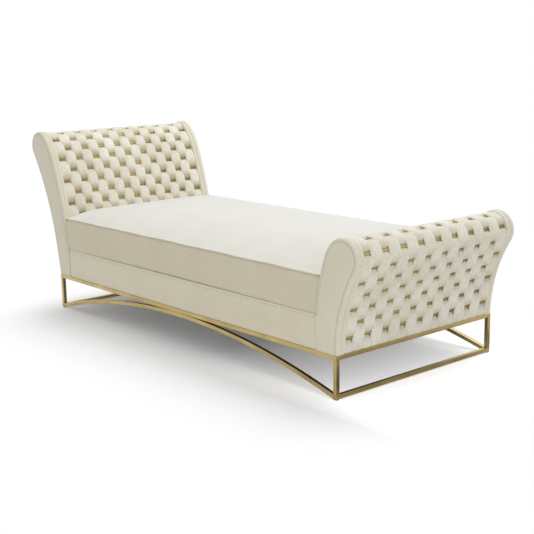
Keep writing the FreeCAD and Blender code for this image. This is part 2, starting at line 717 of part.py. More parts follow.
def crown_edges(shape, outline, face):
    """The edges of a piece that follow the outline itself, in one face across Y."""
    radii = [arc[1] for arc in outline.arcs]
    rim = [edge for edge in shape.Edges
           if abs(edge.CenterOfMass.y - face) < gap and hasattr(edge.Curve, "Radius")]
    return [edge for edge in rim if min(abs(edge.Curve.Radius - radius) for radius in radii) < gap]


# Both ends, from the ribs out to the weave
for end, side in (("head", -1), ("foot", 1)):
    outline = EndOutline(end, side)
    middle_half = number("sizes.rib_thickness") / 2
    crest_side = number("sizes.crest_rail_side")
    notch_side = crest_side + 2 * number("sizes.crest_rail_clearance")

    # Plywood ribs: a curved arm with a foot that laps the side rail; the middle one stops at the end rail
    arm = outline.chain(rib_depth, seat_floor, number(rail_top))
    arm_out, arm_in = outline.tips(rib_depth, seat_floor, number(rail_top))
    lap = number("sizes.rib_lap")
    ribs = []
    for name, low, high, heel in (("front", -number(rib_face), -number(rib_back), lap),
                                  ("rear", number(rib_back), number(rib_face), lap),
                                  ("middle", -middle_half, middle_half, -gap)):
        heel_u = outline.deck_u - heel
        foot_line = path_of_lines([arm_in, outline.vector(heel_u, number(rail_top)),
                                   outline.vector(heel_u, seat_floor), arm_out])
        rib = prism(arm + foot_line, low, high)
        ribs.append(rib.cut(crest_bar(outline, notch_side)))
    solid_piece(f"{end}_ribs", Part.makeCompound(ribs))

    # Crest rail through all three ribs
    solid_piece(f"{end}_crest_rail", crest_bar(outline, crest_side))

    # Battens between the ribs up the arm, and a tack rail under the inner edge of the weave
    battens = []
    batten_width = number("sizes.batten_width")
    batten_half = number("sizes.batten_thickness") / 2
    batten_spacing = number("sizes.batten_spacing")
    room = outline.roll[1] - notch_side - batten_width - inner_floor
    halves = ((-number(rib_back), -middle_half), (middle_half, number(rib_back)))
    for bay in range(1, int(room / batten_spacing) + 1):
        low_point = outline.arm_middle(rib_depth, inner_floor + bay * batten_spacing - batten_width)
        high_point = outline.arm_middle(rib_depth, inner_floor + bay * batten_spacing)
        across = (high_point - low_point).normalize().cross(Vector(0, 1, 0)) * batten_half
        corners = [low_point - across, low_point + across, high_point + across, high_point - across]
        for low, high in halves:
            battens.append(prism(path_of_lines(corners + corners[:1]), low + gap, high - gap))
    tack_low = outline.vector(outline.deck_u + gap, number(rail_top) - batten_width)
    tack_high = outline.vector(outline.deck_u + gap + shell_depth, number(rail_top))
    corners = [tack_low, Vector(tack_high.x, 0, tack_low.z), tack_high, Vector(tack_low.x, 0, tack_high.z)]
    for low, high in ((-number(seat_rail_back), -middle_half), (middle_half, number(seat_rail_back))):
        battens.append(prism(path_of_lines(corners + corners[:1]), low + gap, high - gap))
    solid_piece(f"{end}_battens", Part.makeCompound(battens))

    # Bent plywood shell round the ribs
    shell = outline.band(weave_depth, shell_depth, seat_floor, inner_floor)
    solid_piece(f"{end}_shell", prism(shell, -number(rib_face), number(rib_face)))

    # Facings, edge rolls and border bands at the front and rear of the end
    soft_floor = seat_floor + gap
    ledge = number(deck_top) - gap
    roll_depth = number("sizes.edge_roll_depth")
    facing_depth = roll_depth + gap
    facing_rim = outline.chain(facing_depth, soft_floor, ledge)
    rim_out, rim_in = outline.tips(facing_depth, soft_floor, ledge)
    facing_foot = path_of_lines([rim_in, outline.vector(outline.deck_u + gap, ledge),
                                 outline.vector(outline.deck_u + gap, soft_floor), rim_out])
    rolls = []
    borders = []
    for name, sign in mirror_sides:
        back = sign * number(facing_back)
        face = sign * number(half_width)
        low, high = sorted((back, face))
        solid_piece(f"{end}_facing_{name}", prism(facing_rim + facing_foot, low, high))

        roll = prism(outline.band(0, roll_depth, soft_floor, number(deck_top)), low, high)
        rolls.append(roll.makeChamfer(number("sizes.edge_roll_bevel"), crown_edges(roll, outline, face)))

        low, high = sorted((sign * (number(weave_half) + gap), back - sign * gap))
        borders.append(prism(outline.band(0, weave_depth - gap, soft_floor, number(deck_top)), low, high))
    solid_piece(f"{end}_edge_rolls", Part.makeCompound(rolls))
    solid_piece(f"{end}_borders", Part.makeCompound(borders))

    # Gold bars on every row, and the straps that weave over and under them in two phases
    stop = outline.travel_to_inner(number(deck_top))
    rods = []
    row = 1
    while outline.row_travel(row) < stop - flat_half:
        rods.append(prism(bar_edges(outline, row), -number(weave_half), number(weave_half)))
        row += 1
    solid_piece(f"{end}_weave_bars", Part.makeCompound(rods))
    for phase, name in ((0, "odd"), (1, "even")):
        side_view = strap_edges(outline, phase, stop)
        straps = []
        for column in range(phase, strap_count, 2):
            centre = (column - (strap_count - 1) / 2) * strap_pitch
            straps.append(prism(side_view, centre - strap_width / 2, centre + strap_width / 2))
        solid_piece(f"{end}_straps_{name}", Part.makeCompound(straps))

# Loose mattress, sloped at its ends to follow the woven faces
def mattress_wedge(inset, top):
    """The room between the two ends from the deck up to a level, at a depth under the cloth."""
    low = number(deck_top) + gap + inset
    end_gap = number("sizes.mattress_end_gap") + inset
    sides = []
    for outline in (EndOutline("head", -1), EndOutline("foot", 1)):
        sides.append([outline.tips(-end_gap, level, level)[1] for level in (low, (low + top) / 2, top)])
    edges = [Part.Arc(*points).toShape() for points in sides]
    edges += [Part.makeLine(sides[0][0], sides[1][0]), Part.makeLine(sides[0][2], sides[1][2])]
    half = number(half_width) - number("sizes.mattress_side_swell") - number("sizes.mattress_draw_in") - inset
    return edges, half, (sides[0][2].x, sides[1][2].x)


# The crowned cover with its wadding: boxing that swells, seams drawn in along the middle
mattress_low = number(deck_top) + gap
seam_level = mattress_low + number("sizes.mattress_height")
swell = number("sizes.mattress_side_swell")
full_rise = number("sizes.mattress_crown")
shoulder = number("sizes.mattress_shoulder")
bend = (1 + shoulder) / 2
square = number("sizes.mattress_squareness")
wedge, _, (head_tip, foot_tip) = mattress_wedge(0, seam_level + full_rise)
stations = [
    (head_tip, 0, number("sizes.mattress_head_crown")),
    (head_tip + number("sizes.mattress_head_fall"), 1, full_rise),
    (foot_tip - number("sizes.mattress_foot_fall"), 1, full_rise),
    (foot_tip, 0, number("sizes.mattress_foot_crown")),
]
sections = []
for x, share, rise in stations:
    seam = number(half_width) - swell - share * number("sizes.mattress_draw_in")
    crest = []
    for q in (bend, shoulder, 0, -shoulder, -bend):
        crest.append(Vector(x, q * seam, seam_level + rise * (1 - abs(q) ** square)))
    corners = [Vector(x, -seam, mattress_low), Vector(x, seam, mattress_low),
               Vector(x, seam, seam_level), Vector(x, -seam, seam_level)]
    middle = (mattress_low + seam_level) / 2
    edges = [Part.makeLine(corners[0], corners[1]),
             Part.Arc(corners[1], Vector(x, seam + swell, middle), corners[2]).toShape(),
             Part.Arc(corners[2], crest[0], crest[1]).toShape(),
             Part.Arc(crest[1], crest[2], crest[3]).toShape(),
             Part.Arc(crest[3], crest[4], corners[3]).toShape(),
             Part.Arc(corners[3], Vector(x, -seam - swell, middle), corners[0]).toShape()]
    sections.append(Part.Wire(edges))
mattress = Part.makeLoft(sections, True, True)
mattress = mattress.common(prism(wedge, -number("sizes.base_width"), number("sizes.base_width")))

# The plain foam block inside it
cloth = number("sizes.mattress_cloth")
room, room_half, _ = mattress_wedge(cloth, seam_level - cloth)
core, core_half, _ = mattress_wedge(cloth + gap, seam_level - cloth - gap)
solid_piece("mattress_cover", mattress.cut(prism(room, -room_half, room_half)))
solid_piece("mattress_core", prism(core, -core_half, core_half))

# Every object has to be sound before anything is written
doc.recompute()
for item in doc.Objects:
    if "Invalid" in item.State or "Error" in item.State:
        raise RuntimeError(f"{item.Label} did not build: {item.State}")
for piece in nodes:
    if piece.Shape.isNull() or not piece.Shape.isValid() or not piece.Shape.Solids:
        raise RuntimeError(f"{piece.Label} has no sound solid")

os.makedirs("parts", exist_ok=True)
for piece in nodes:
    piece.Shape.exportStep(f"parts/{piece.Label}.step")
    print(f"{piece.Label}: {len(piece.Shape.Solids)} solids, {piece.Shape.Volume / 1e6:.3f} litres")
print(len(nodes), "nodes")
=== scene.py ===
"""Looks of a double-ended velvet daybed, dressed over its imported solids, in metres."""
import json
import math

import bmesh
import bpy
import numpy as np
from mathutils import Matrix, Vector


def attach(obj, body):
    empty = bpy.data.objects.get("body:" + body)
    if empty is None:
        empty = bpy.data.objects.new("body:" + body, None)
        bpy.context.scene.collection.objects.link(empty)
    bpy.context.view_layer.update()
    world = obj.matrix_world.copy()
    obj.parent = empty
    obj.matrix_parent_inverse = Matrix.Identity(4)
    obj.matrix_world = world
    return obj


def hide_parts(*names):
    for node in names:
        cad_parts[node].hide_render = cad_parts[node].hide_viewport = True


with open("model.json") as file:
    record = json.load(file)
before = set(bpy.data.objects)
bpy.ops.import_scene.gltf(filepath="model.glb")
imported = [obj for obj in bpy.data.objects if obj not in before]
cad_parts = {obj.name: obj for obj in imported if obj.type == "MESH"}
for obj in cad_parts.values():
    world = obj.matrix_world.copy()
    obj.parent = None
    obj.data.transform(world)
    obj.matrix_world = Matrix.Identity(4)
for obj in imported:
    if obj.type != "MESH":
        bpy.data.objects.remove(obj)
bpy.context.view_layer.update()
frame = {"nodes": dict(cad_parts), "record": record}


# Metal base: square steel tube, mitred and welded into a frame, ground flush and plated champagne gold.
# Posts stand at the corners, floor rails tie the ends, and an arch is sprung along each long side.
class Wire:
    """One socket of a node tree: sums and products of wires and numbers add Math nodes."""

    def __init__(self, tree, socket=None):
        self.tree = tree
        self.socket = socket

    def add(self, kind, links=(), out=0, stops=(), **settings):
        """Any other node: its type and settings, then the values or links of its sockets."""
        node = self.tree.nodes.new(kind)
        for name, value in settings.items():
            setattr(node, name, value)
        for index, (position, colour) in enumerate(stops):
            ramp = node.color_ramp.elements
            element = ramp[index] if index < len(ramp) else ramp.new(position)
            element.position = position
            element.color = colour
        for key, value in dict(links).items():
            if isinstance(value, Wire):
                self.tree.links.new(value.socket, node.inputs[key])
            else:
                node.inputs[key].default_value = value
        return Wire(self.tree, node.outputs[out])

    def other(self, out):
        """Another output of the same node."""
        return Wire(self.tree, self.socket.node.outputs[out])

    def math(self, operation, first, second=0.0):
        return self.add("ShaderNodeMath", {0: first, 1: second}, operation=operation)

    def __add__(self, value):
        return self.math("ADD", self, value)

    def __radd__(self, value):
        return self.math("ADD", value, self)

    def __sub__(self, value):
        return self.math("SUBTRACT", self, value)

    def __rsub__(self, value):
        return self.math("SUBTRACT", value, self)

    def __mul__(self, value):
        return self.math("MULTIPLY", self, value)

    def __rmul__(self, value):
        return self.math("MULTIPLY", value, self)

    def __truediv__(self, value):
        return self.math("DIVIDE", self, value)

    def __rtruediv__(self, value):
        return self.math("DIVIDE", value, self)

    def __pow__(self, value):
        return self.math("POWER", self, value)


def finish_of(name):
    """A new material with its shader and a wire on its Object coordinates."""
    material = bpy.data.materials.new(name)
    material.use_nodes = True
    wire = Wire(material.node_tree)
    place = wire.add("ShaderNodeTexCoord", out="Object")
    return material, material.node_tree.nodes["Principled BSDF"], place


def feed(shader, **values):
    """Link wires to a shader's sockets, or set them: names have _ for spaces."""
    for name, value in values.items():
        socket = shader.inputs[name.replace("_", " ")]
        if isinstance(value, Wire):
            value.tree.links.new(value.socket, socket)
        else:
            socket.default_value = value


def noise(place, scale, detail=2.0, stretch=(1, 1, 1)):
    """Even noise from 0 to 1, about scale features to the metre."""
    if stretch != (1, 1, 1):
        place = place.add("ShaderNodeMapping", {"Vector": place, "Scale": stretch})
    return place.add("ShaderNodeTexNoise", {"Vector": place, "Scale": scale, "Detail": detail})


def mixed(factor, first, second):
    """A colour between two, by a wire from 0 to 1."""
    return factor.add("ShaderNodeMix", {"Factor": factor, 6: first, 7: second}, out=2, data_type="RGBA")


def bumped(height, depth, strength=1.0):
    """A normal from a height wire whose full step is depth metres."""
    return height.add("ShaderNodeBump", {"Height": height, "Distance": depth, "Strength": strength})


def plated(name, pale, deep, dullness=0.2):
    """Satin plated metal: a soft cloud in the tone, fine rub marks, and duller patches."""
    material, shader, place = finish_of(name)
    cloud = noise(place, 9, 3)
    rubs = noise(place, 900, 2, (1, 1, 0.08))
    feed(shader, Base_Color=mixed(cloud * 1.6 + rubs * 0.4 - 0.5, deep, pale), Metallic=1.0,
         Roughness=dullness + cloud * 0.1 + rubs * 0.12, Normal=bumped(rubs, 0.00002, 0.4))
    return material


def mesh_piece(name, mesh, material, body, slot, *nodes):
    """A finished mesh as a piece that rides on a body and stands for its solids."""
    piece = bpy.data.objects.new(name, mesh)
    bpy.context.scene.collection.objects.link(piece)
    mesh.materials.clear()
    mesh.materials.append(material)
    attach(piece, body)
    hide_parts(*nodes)
    return piece


def dress(name, material):
    """Give a solid that shows as it is its material."""
    materials = frame["nodes"][name].data.materials
    materials.clear()
    materials.append(material)


WELD = 1e-6
FLAT_TURN = 0.01
ARRIS_TURN = 1.0
ARRIS_LENGTH = 0.02
TUBE_EASE = 0.0011
tube_gold = plated("plated_tube", (0.64, 0.51, 0.235, 1), (0.42, 0.31, 0.11, 1))
tube_nodes = [name for name in frame["nodes"] if name.startswith("base_") and name != "base_fixing_tabs"]
for name in sorted(tube_nodes):
    tube = bmesh.new()
    tube.from_mesh(frame["nodes"][name].data)
    bmesh.ops.remove_doubles(tube, verts=tube.verts, dist=WELD)
    bmesh.ops.dissolve_limit(tube, angle_limit=FLAT_TURN, verts=tube.verts, edges=tube.edges)
    arris = [edge for edge in tube.edges if edge.calc_length() > ARRIS_LENGTH and edge.is_convex
             and edge.calc_face_angle(0) > ARRIS_TURN]
    bmesh.ops.bevel(tube, geom=arris, offset=TUBE_EASE, segments=2, profile=0.5, affect="EDGES")
    mesh = bpy.data.meshes.new(name + "_eased")
    tube.to_mesh(mesh)
    tube.free()
    mesh_piece(name + "_eased", mesh, tube_gold, "daybed", "gold", name)
dress("base_fixing_tabs", tube_gold)


# Screws: four plated pan-head screws with a round socket, driven up through the slotted tabs of the base.
# They hold the seat box down on the base.
BASE_MIDDLE = 0.0495
TAB_REACH = (0.480, 0.3757)
TAB_FLOOR = 0.157


def rule_tree(name, sizes):
    """A new tree with named inputs; gives the tree, a wire on each input, and the inputs' identifiers."""
    tree = bpy.data.node_groups.new(name, "GeometryNodeTree")
    tree.interface.new_socket("Geometry", in_out="INPUT", socket_type="NodeSocketGeometry")
    tree.interface.new_socket("Geometry", in_out="OUTPUT", socket_type="NodeSocketGeometry")
    kinds = {int: "NodeSocketInt", float: "NodeSocketFloat"}
    keys = {}
    for label, value in sizes.items():
        socket = tree.interface.new_socket(label, in_out="INPUT", socket_type=kinds[type(value)])
        keys[label] = socket.identifier
    entry = tree.nodes.new("NodeGroupInput")
    wires = {socket.name: Wire(tree, socket) for socket in entry.outputs if socket.name}
    return tree, wires, keys


def tree_end(wires, pieces, material):
    """Finish a tree: real pieces in their material."""
    wire = wires["Geometry"]
    pieces = wire.add("GeometryNodeRealizeInstances", {"Geometry": pieces})
    pieces = wire.add("GeometryNodeSetMaterial", {"Geometry": pieces, "Material": material})
    exit_node = wire.tree.nodes.new("NodeGroupOutput")
    wire.tree.links.new(pieces.socket, exit_node.inputs[0])


def face_outwards(mesh, weld=0.0):
    """Turn the faces of a mesh outwards, after any points this close are welded."""
    body = bmesh.new()
    body.from_mesh(mesh)
    if weld:
        bmesh.ops.remove_doubles(body, verts=body.verts, dist=weld)
    bmesh.ops.recalc_face_normals(body, faces=body.faces)
    body.to_mesh(mesh)
    body.free()


def made_by_rule(host, tree, keys, sizes):
    """Run a tree on a host and keep the result as a plain closed mesh that faces outwards."""
    rule = host.modifiers.new("rule", "NODES")
    rule.node_group = tree
    for label, value in sizes.items():
        rule[keys[label]] = value
    bpy.context.view_layer.update()
    shown = host.evaluated_get(bpy.context.evaluated_depsgraph_get())
    mesh = bpy.data.meshes.new_from_object(shown)
    host.modifiers.remove(rule)
    face_outwards(mesh)
    return mesh


def host_of(name, points, edges=()):
    """A bare object of points and edges for a tree to work on."""
    mesh = bpy.data.meshes.new(name)
    mesh.from_pydata(points, edges, [])
    host = bpy.data.objects.new(name, mesh)
    bpy.context.scene.collection.objects.link(host)
    return host


screw_spots = [(BASE_MIDDLE + i * TAB_REACH[0], j * TAB_REACH[1], TAB_FLOOR)
               for i in (-1, 1) for j in (-1, 1)]
sizes = {"Head sides": 24, "Head radius": 0.0055, "Head taper": 0.72, "Head height": 0.0026,
         "Socket depth": 0.0014, "Socket share": 0.5}
tree, wires, keys = rule_tree("pan_heads", sizes)
wire = wires["Geometry"]
head = wire.add("GeometryNodeMeshCone", {
    "Vertices": wires["Head sides"],
    "Radius Top": wires["Head radius"],
    "Radius Bottom": wires["Head radius"] * wires["Head taper"],
    "Depth": wires["Head height"],
})
face = head.other("Bottom")
ring = wire.add("GeometryNodeExtrudeMesh", {"Mesh": head, "Selection": face, "Offset Scale": 0.0})
face = ring.other("Top")
ring = wire.add("GeometryNodeScaleElements",
                {"Geometry": ring, "Selection": face, "Scale": wires["Socket share"]})
head = wire.add("GeometryNodeExtrudeMesh",
                {"Mesh": ring, "Selection": face, "Offset Scale": wires["Socket depth"] * -1})
drop = wire.add("ShaderNodeCombineXYZ", {"Z": wires["Head height"] * -1})
head = wire.add("GeometryNodeTransform", {"Geometry": head, "Translation": drop})
heads = wire.add("GeometryNodeInstanceOnPoints", {"Points": wire, "Instance": head})
tree_end(wires, heads, tube_gold)
host = host_of("screw_spots", screw_spots)
mesh_piece("base_screws", made_by_rule(host, tree, keys, sizes), tube_gold, "daybed", "gold")
bpy.data.objects.remove(host)


# Glides: black plastic plugs under the four posts, moulded with a fine spark grain.
# They keep the metal off the floor.
glide_black, shader, place = finish_of("moulded_glide")
grain = noise(place, 2500, 1)
feed(shader, Base_Color=mixed(grain, (0.012, 0.012, 0.013, 1), (0.03, 0.03, 0.031, 1)),
     Roughness=0.45 + grain * 0.2, Normal=bumped(grain, 0.00005))
dress("floor_glides", glide_black)


# Dust cover: near-black non-woven cloth with a turned hem, stretched and stapled under the seat box.
# The base closes over its rim.
DUST_HALF = (0.895, 0.4035)
DUST_LOW = 0.1601
DUST_FACES = (0.0003, 0.0008)
DUST_STEP = 0.0095
HEM = 0.020
HEM_FOLD = 0.0002
SLACK = 0.00012
SHARP_TURN = math.radians(50)


def panel_mesh(spots, low, high, place):
    """A closed panel from a grid of flat spots: place(spots, heights) sets its two faces in the room."""
    rows, columns = spots.shape[:2]
    index = np.arange(rows * columns).reshape(rows, columns)
    corners = [index[:-1, :-1], index[:-1, 1:], index[1:, 1:], index[1:, :-1]]
    quads = np.stack(corners, axis=-1).reshape(-1, 4)
    rim = np.concatenate([index[0], index[1:, -1], index[-1, -2::-1], index[-2:0:-1, 0]])
    after = np.roll(rim, -1)
    walls = np.stack([rim, after, after + index.size, rim + index.size], axis=-1)
    faces = np.concatenate([quads, quads[:, ::-1] + index.size, walls])
    points = np.concatenate([place(spots, high).reshape(-1, 3), place(spots, low).reshape(-1, 3)])
    mesh = bpy.data.meshes.new("panel")
    mesh.from_pydata(points.tolist(), [], faces.tolist())
    face_outwards(mesh, WELD)
    mesh.shade_smooth()
    mesh.set_sharp_from_angle(angle=SHARP_TURN)
    return mesh


def grid_of(x_span, y_span, step):
    """Even flat spots over a rectangle, about a step apart."""
    xs = np.linspace(*x_span, int((x_span[1] - x_span[0]) / step) + 1)
    ys = np.linspace(*y_span, int((y_span[1] - y_span[0]) / step) + 1)
    return np.stack(np.meshgrid(xs, ys, indexing="ij"), axis=-1)


def level(spots, heights):
    """Lays flat spots level, each at its height."""
    return np.concatenate([spots, np.broadcast_to(heights, spots.shape[:2])[..., None]], axis=-1)


spots = grid_of((BASE_MIDDLE - DUST_HALF[0], BASE_MIDDLE + DUST_HALF[0]), (-DUST_HALF[1], DUST_HALF[1]),
                DUST_STEP)
inset = np.minimum(DUST_HALF[0] - abs(spots[..., 0] - BASE_MIDDLE), DUST_HALF[1] - abs(spots[..., 1]))
hem = np.where(inset < HEM, HEM_FOLD, 0.0)
slack = SLACK * np.sin(spots[..., 0] * 21) * np.sin(spots[..., 1] * 34)
mesh = panel_mesh(spots, DUST_LOW + DUST_FACES[0] - hem + slack, DUST_LOW + DUST_FACES[1] + hem + slack,
                  level)
dust_black, shader, place = finish_of("dust_cloth_black")
fibres = noise(place, 700, 3) * 0.5 + noise(place, 160, 2) * 0.5
feed(shader, Base_Color=mixed(fibres, (0.03, 0.028, 0.025, 1), (0.11, 0.10, 0.09, 1)),
     Roughness=0.75 + fibres * 0.2, Normal=bumped(fibres, 0.0004), Specular_IOR_Level=0.3)
dust_cloth = mesh_piece("dust_cloth", mesh, dust_black, "daybed", "dust_cloth", "dust_cover")


# Seat box and the timber of both ends: planed softwood rails and blocks, sanded plywood ribs and shells.
# They are glued and screwed, and the upholstery hides them.
def timber(name, pale, dark, rings):
    """Cut wood with its grain along x: rings says how close the streaks lie."""
    material, shader, place = finish_of(name)
    warp = noise(place, 6, 2)
    streak = noise(place, rings, 4, (0.05, 1, 1))
    grain = place.math("FRACT", streak * 3 + warp * 2)
    feed(shader, Base_Color=mixed(grain, pale, dark), Roughness=0.55 + streak * 0.25,
         Normal=bumped(streak, 0.0004, 0.5))
    return material


planed = timber("planed_softwood", (0.62, 0.44, 0.25, 1), (0.45, 0.29, 0.14, 1), 60)
ply = timber("sanded_plywood", (0.78, 0.66, 0.47, 1), (0.68, 0.54, 0.35, 1), 25)
woods = {"timber": planed, "plywood": ply}
for item in frame["record"]["subparts"]:
    if item["material_slot"] in woods:
        dress(item["node"], woods[item["material_slot"]])


# Seat webbing: bands of plain-woven jute, tacked across the seat box and along it.
# They carry the deck pad and are hidden by it.
def plain_weave(place, threads):
    """Ups and downs of a plain weave, from 0 to 1, seen from above."""
    lines = place.add("ShaderNodeSeparateXYZ", {"Vector": place})
    return place.math("SINE", lines * threads) * place.math("SINE", lines.other("Y") * threads) * 0.5 + 0.5


jute, shader, place = finish_of("jute_webbing")
warp = plain_weave(place, 2600)
fibres = noise(place, 500, 3)
feed(shader, Base_Color=mixed(warp * 0.6 + fibres * 0.4, (0.20, 0.13, 0.07, 1), (0.46, 0.34, 0.20, 1)),
     Roughness=0.8 + fibres * 0.15, Normal=bumped(warp, 0.0005))
for name in ("seat_webbing_cross", "seat_webbing_long"):
    dress(name, jute)


# Deck pad: a thin felt pad in plain cotton deck cloth, laid on the webbing and tacked round the seat box.
# The mattress hides it until it is lifted.
HEAD_DECK = 0.840
FOOT_DECK = 0.825
DECK_X = (BASE_MIDDLE - HEAD_DECK, BASE_MIDDLE + FOOT_DECK)
DECK_HALF = 0.4047
DECK_STEP = 0.012
DECK_FACES = (0.2824, 0.2851)
DECK_PUFF = 0.0028
DECK_SHOULDER = 0.014
DECK_WAVE = 0.0004


def edge_distance(spots):
    """Distance from each spot of a grid to the grid's own rim."""
    rim = np.concatenate([spots[0], spots[1:, -1], spots[-1, -2::-1], spots[-2:0:-1, 0]])
    flat = spots.reshape(-1, 2)
    nearest = np.full(len(flat), 9.0)
    for point, way in zip(rim, np.roll(rim, -1, axis=0) - rim):
        share = np.clip((flat - point) @ way / max(way @ way, 1e-12), 0, 1)
        nearest = np.minimum(nearest, np.linalg.norm(flat - point - share[:, None] * way, axis=1))
    return nearest.reshape(spots.shape[:2])


def puffed(distance, width):
    """How full a pad is, from 0 at its rim to 1 a width in, on a round shoulder."""
    return np.sqrt(1 - (1 - np.clip(distance / width, 0, 1)) ** 2)


spots = grid_of(DECK_X, (-DECK_HALF, DECK_HALF), DECK_STEP)
top = DECK_FACES[1] + DECK_PUFF * puffed(edge_distance(spots), DECK_SHOULDER)
top -= DECK_WAVE * (1 + np.sin(spots[..., 0] * 54) * np.sin(spots[..., 1] * 48))
mesh = panel_mesh(spots, DECK_FACES[0], top, level)
deck_cotton, shader, place = finish_of("deck_cotton")
threads = plain_weave(place, 5200)
slubs = noise(place, 90, 3, (1, 0.15, 1))
feed(shader, Base_Color=mixed(threads * 0.3 + slubs * 0.7, (0.58, 0.54, 0.45, 1), (0.72, 0.69, 0.61, 1)),
     Roughness=0.82 + slubs * 0.12, Normal=bumped(threads * 0.6 + slubs * 0.4, 0.0003))
deck_panel = mesh_piece("deck_panel", mesh, deck_cotton, "daybed", "deck_cloth", "deck_pad")


# Rail panels: long boards padded with thin wadding and covered in cream velvet, front and rear.
# They are pinned to the seat box between the curled ends, and meet the facings in a thin joint line.
SIDES = ((-1, "front"), (1, "rear"))
BOARD_BACK = 0.405
PANEL_Z = (0.1602, 0.2815)
PANEL_GAP = 0.0004
PANEL_STEP = 0.006
PANEL_RIM = 0.0158
PANEL_PUFF = 0.0042
PANEL_SHOULDER = 0.026
PANEL_WAVE = 0.0004
WAVE_INSET = 0.01


def velvet(name, pale, deep, gathered_and_shaded=False, painted_lit_top=None):
    """Short-pile velvet with brushed patches and flecks in its nap.

    Gathers fold where the cloth is pinched; painted shade darkens pinched places and each pillow's lower
    end; a painted lit top is paler.
    """
    material, shader, place = finish_of(name)
    nap = noise(place, 7, 3)
    brush = noise(place, 110, 4, (1, 1, 0.6))
    fleck = noise(place, 420, 2)
    pile = noise(place, 2600, 1)
    tone = nap * 0.9 + brush * 0.85 + fleck * 0.85 - 0.8
    height = pile * 0.3 + brush * 0.4 + fleck * 0.3
    if gathered_and_shaded:
        pinch = place.add("ShaderNodeAttribute", out="Fac", attribute_name="pinch")
        across = place.add("ShaderNodeAttribute", out="Fac", attribute_name="across")
        folds = place.math("SINE", across * 900 + nap * 9) * pinch * pinch
        height = height + folds * 1.6
        painted_shade = place.add("ShaderNodeAttribute", out="Fac", attribute_name="painted_shade")
        # Painted shade: darker where the strap is pinched and on the lower end of each pillow.
        tone = tone + 0.15 - pinch * 0.2 - painted_shade * 0.7
    colour = mixed(tone, deep, pale)
    # Painted light: the top panel takes paler colours, for the light that falls on it.
    if painted_lit_top:
        top = place.add("ShaderNodeAttribute", out="Fac", attribute_name="top")
        colour = mixed(top, colour, mixed(tone, *painted_lit_top))
    feed(shader, Base_Color=colour, Roughness=0.78 + pile * 0.15,
         Normal=bumped(height, 0.0006, 0.5), Sheen_Weight=1.0, Sheen_Roughness=0.38,
         Sheen_Tint=(1.0, 1.0, 1.0, 1), Specular_IOR_Level=0.2)
    return material


def upright(side):
    """A way to set flat spots upright on one side, outwards from the back of its boards."""
    return lambda spots, out: np.stack([spots[..., 0], side * (BOARD_BACK + out), spots[..., 1]], axis=-1)


panel_velvet = velvet("panel_velvet", (0.86, 0.805, 0.63, 1), (0.745, 0.685, 0.505, 1))
spots = grid_of((DECK_X[0] + PANEL_GAP, DECK_X[1] - PANEL_GAP), PANEL_Z, PANEL_STEP)
inset = edge_distance(spots)
wave = PANEL_WAVE * np.sin(spots[..., 0] * 19 + spots[..., 1] * 40) * np.sin(spots[..., 0] * 7.3)
stand = PANEL_RIM + PANEL_PUFF * puffed(inset, PANEL_SHOULDER) + wave * (inset > WAVE_INSET)
for side, name in SIDES:
    mesh = panel_mesh(spots, 0 * stand, stand, upright(side))
    panel = mesh_piece(f"rail_panel_{name}_velvet", mesh, panel_velvet, "daybed", "velvet",
                       f"rail_panel_{name}")


# Rail welts: a cord in a bias strip of the same velvet, sewn along the top edge of each rail panel.
# The mattress settles on them.
SEAM_MERGE = 1e-5
END_SHARE = 1e-5


def above(value):
    """A wire's value, or nought where it is under nought."""
    return value.math("MAXIMUM", value, 0.0)


def kept(value, most=1.0):
    """A wire's value, kept between nought and most."""
    return value.math("MINIMUM", above(value), most)


def repeated_strips(wires, count, along, around, label):
    """Grids to be rolled up: their share along and around, a flag off the end caps, and a number."""
    wire = wires["Geometry"]
    strip = wire.add("GeometryNodeMeshGrid", {"Vertices X": along, "Vertices Y": around})
    points = wire.add("GeometryNodeMeshLine", {"Count": count, "Offset": (0, 0, 0)})
    index = wire.add("GeometryNodeInputIndex")
    points = wire.add("GeometryNodeStoreNamedAttribute", {"Geometry": points, "Name": label, "Value": index})
    strips = wire.add("GeometryNodeInstanceOnPoints", {"Points": points, "Instance": strip})
    strips = wire.add("GeometryNodeRealizeInstances", {"Geometry": strips})
    place = wire.add("GeometryNodeInputPosition")
    parts = wire.add("ShaderNodeSeparateXYZ", {"Vector": place})
    number = wire.add("GeometryNodeInputNamedAttribute", {"Name": label})
    raw = parts + 0.5
    cap = 1 / (along - 3)
    share = kept(raw * (1 + 2 * cap) - cap)
    whole = wire.math("GREATER_THAN", raw * (1 - raw), END_SHARE)
    return strips, share, parts.other("Y") + 0.5, whole, number


def closed(wires, pieces):
    """Close the strips' seams and smooth them."""
    wire = wires["Geometry"]
    pieces = wire.add("GeometryNodeMergeByDistance", {"Geometry": pieces, "Distance": SEAM_MERGE})
    return wire.add("GeometryNodeSetShadeSmooth", {"Geometry": pieces})


WELT_GAP = 0.001
sizes = {"Welts": 2, "Start": DECK_X[0] + WELT_GAP, "Stop": DECK_X[1] - WELT_GAP, "Out": 0.4212,
         "Level": 0.2855, "Radius": 0.0044, "Pucker": 0.00012}
tree, wires, keys = rule_tree("welts", sizes)
strips, a, b, whole, number = repeated_strips(wires, wires["Welts"], along=500, around=13, label="welt")
turn = b * (2 * math.pi)
along = wires["Start"] + a * (wires["Stop"] - wires["Start"])
radius = (wires["Radius"] + a.math("SINE", along * 640 + turn) * wires["Pucker"]) * whole
spot = a.add("ShaderNodeCombineXYZ", {
    "X": along,
    "Y": (number * 2 - 1) * wires["Out"] + a.math("COSINE", turn) * radius,
    "Z": wires["Level"] + a.math("SINE", turn) * radius,
})
strips = a.add("GeometryNodeSetPosition", {"Geometry": strips, "Position": spot})
tree_end(wires, closed(wires, strips), panel_velvet)
host = host_of("welt_host", [(0, 0, 0)])
mesh = made_by_rule(host, tree, keys, sizes)
welts = mesh_piece("rail_welt_cords", mesh, panel_velvet, "daybed", "velvet", "rail_welts")
bpy.data.objects.remove(host)


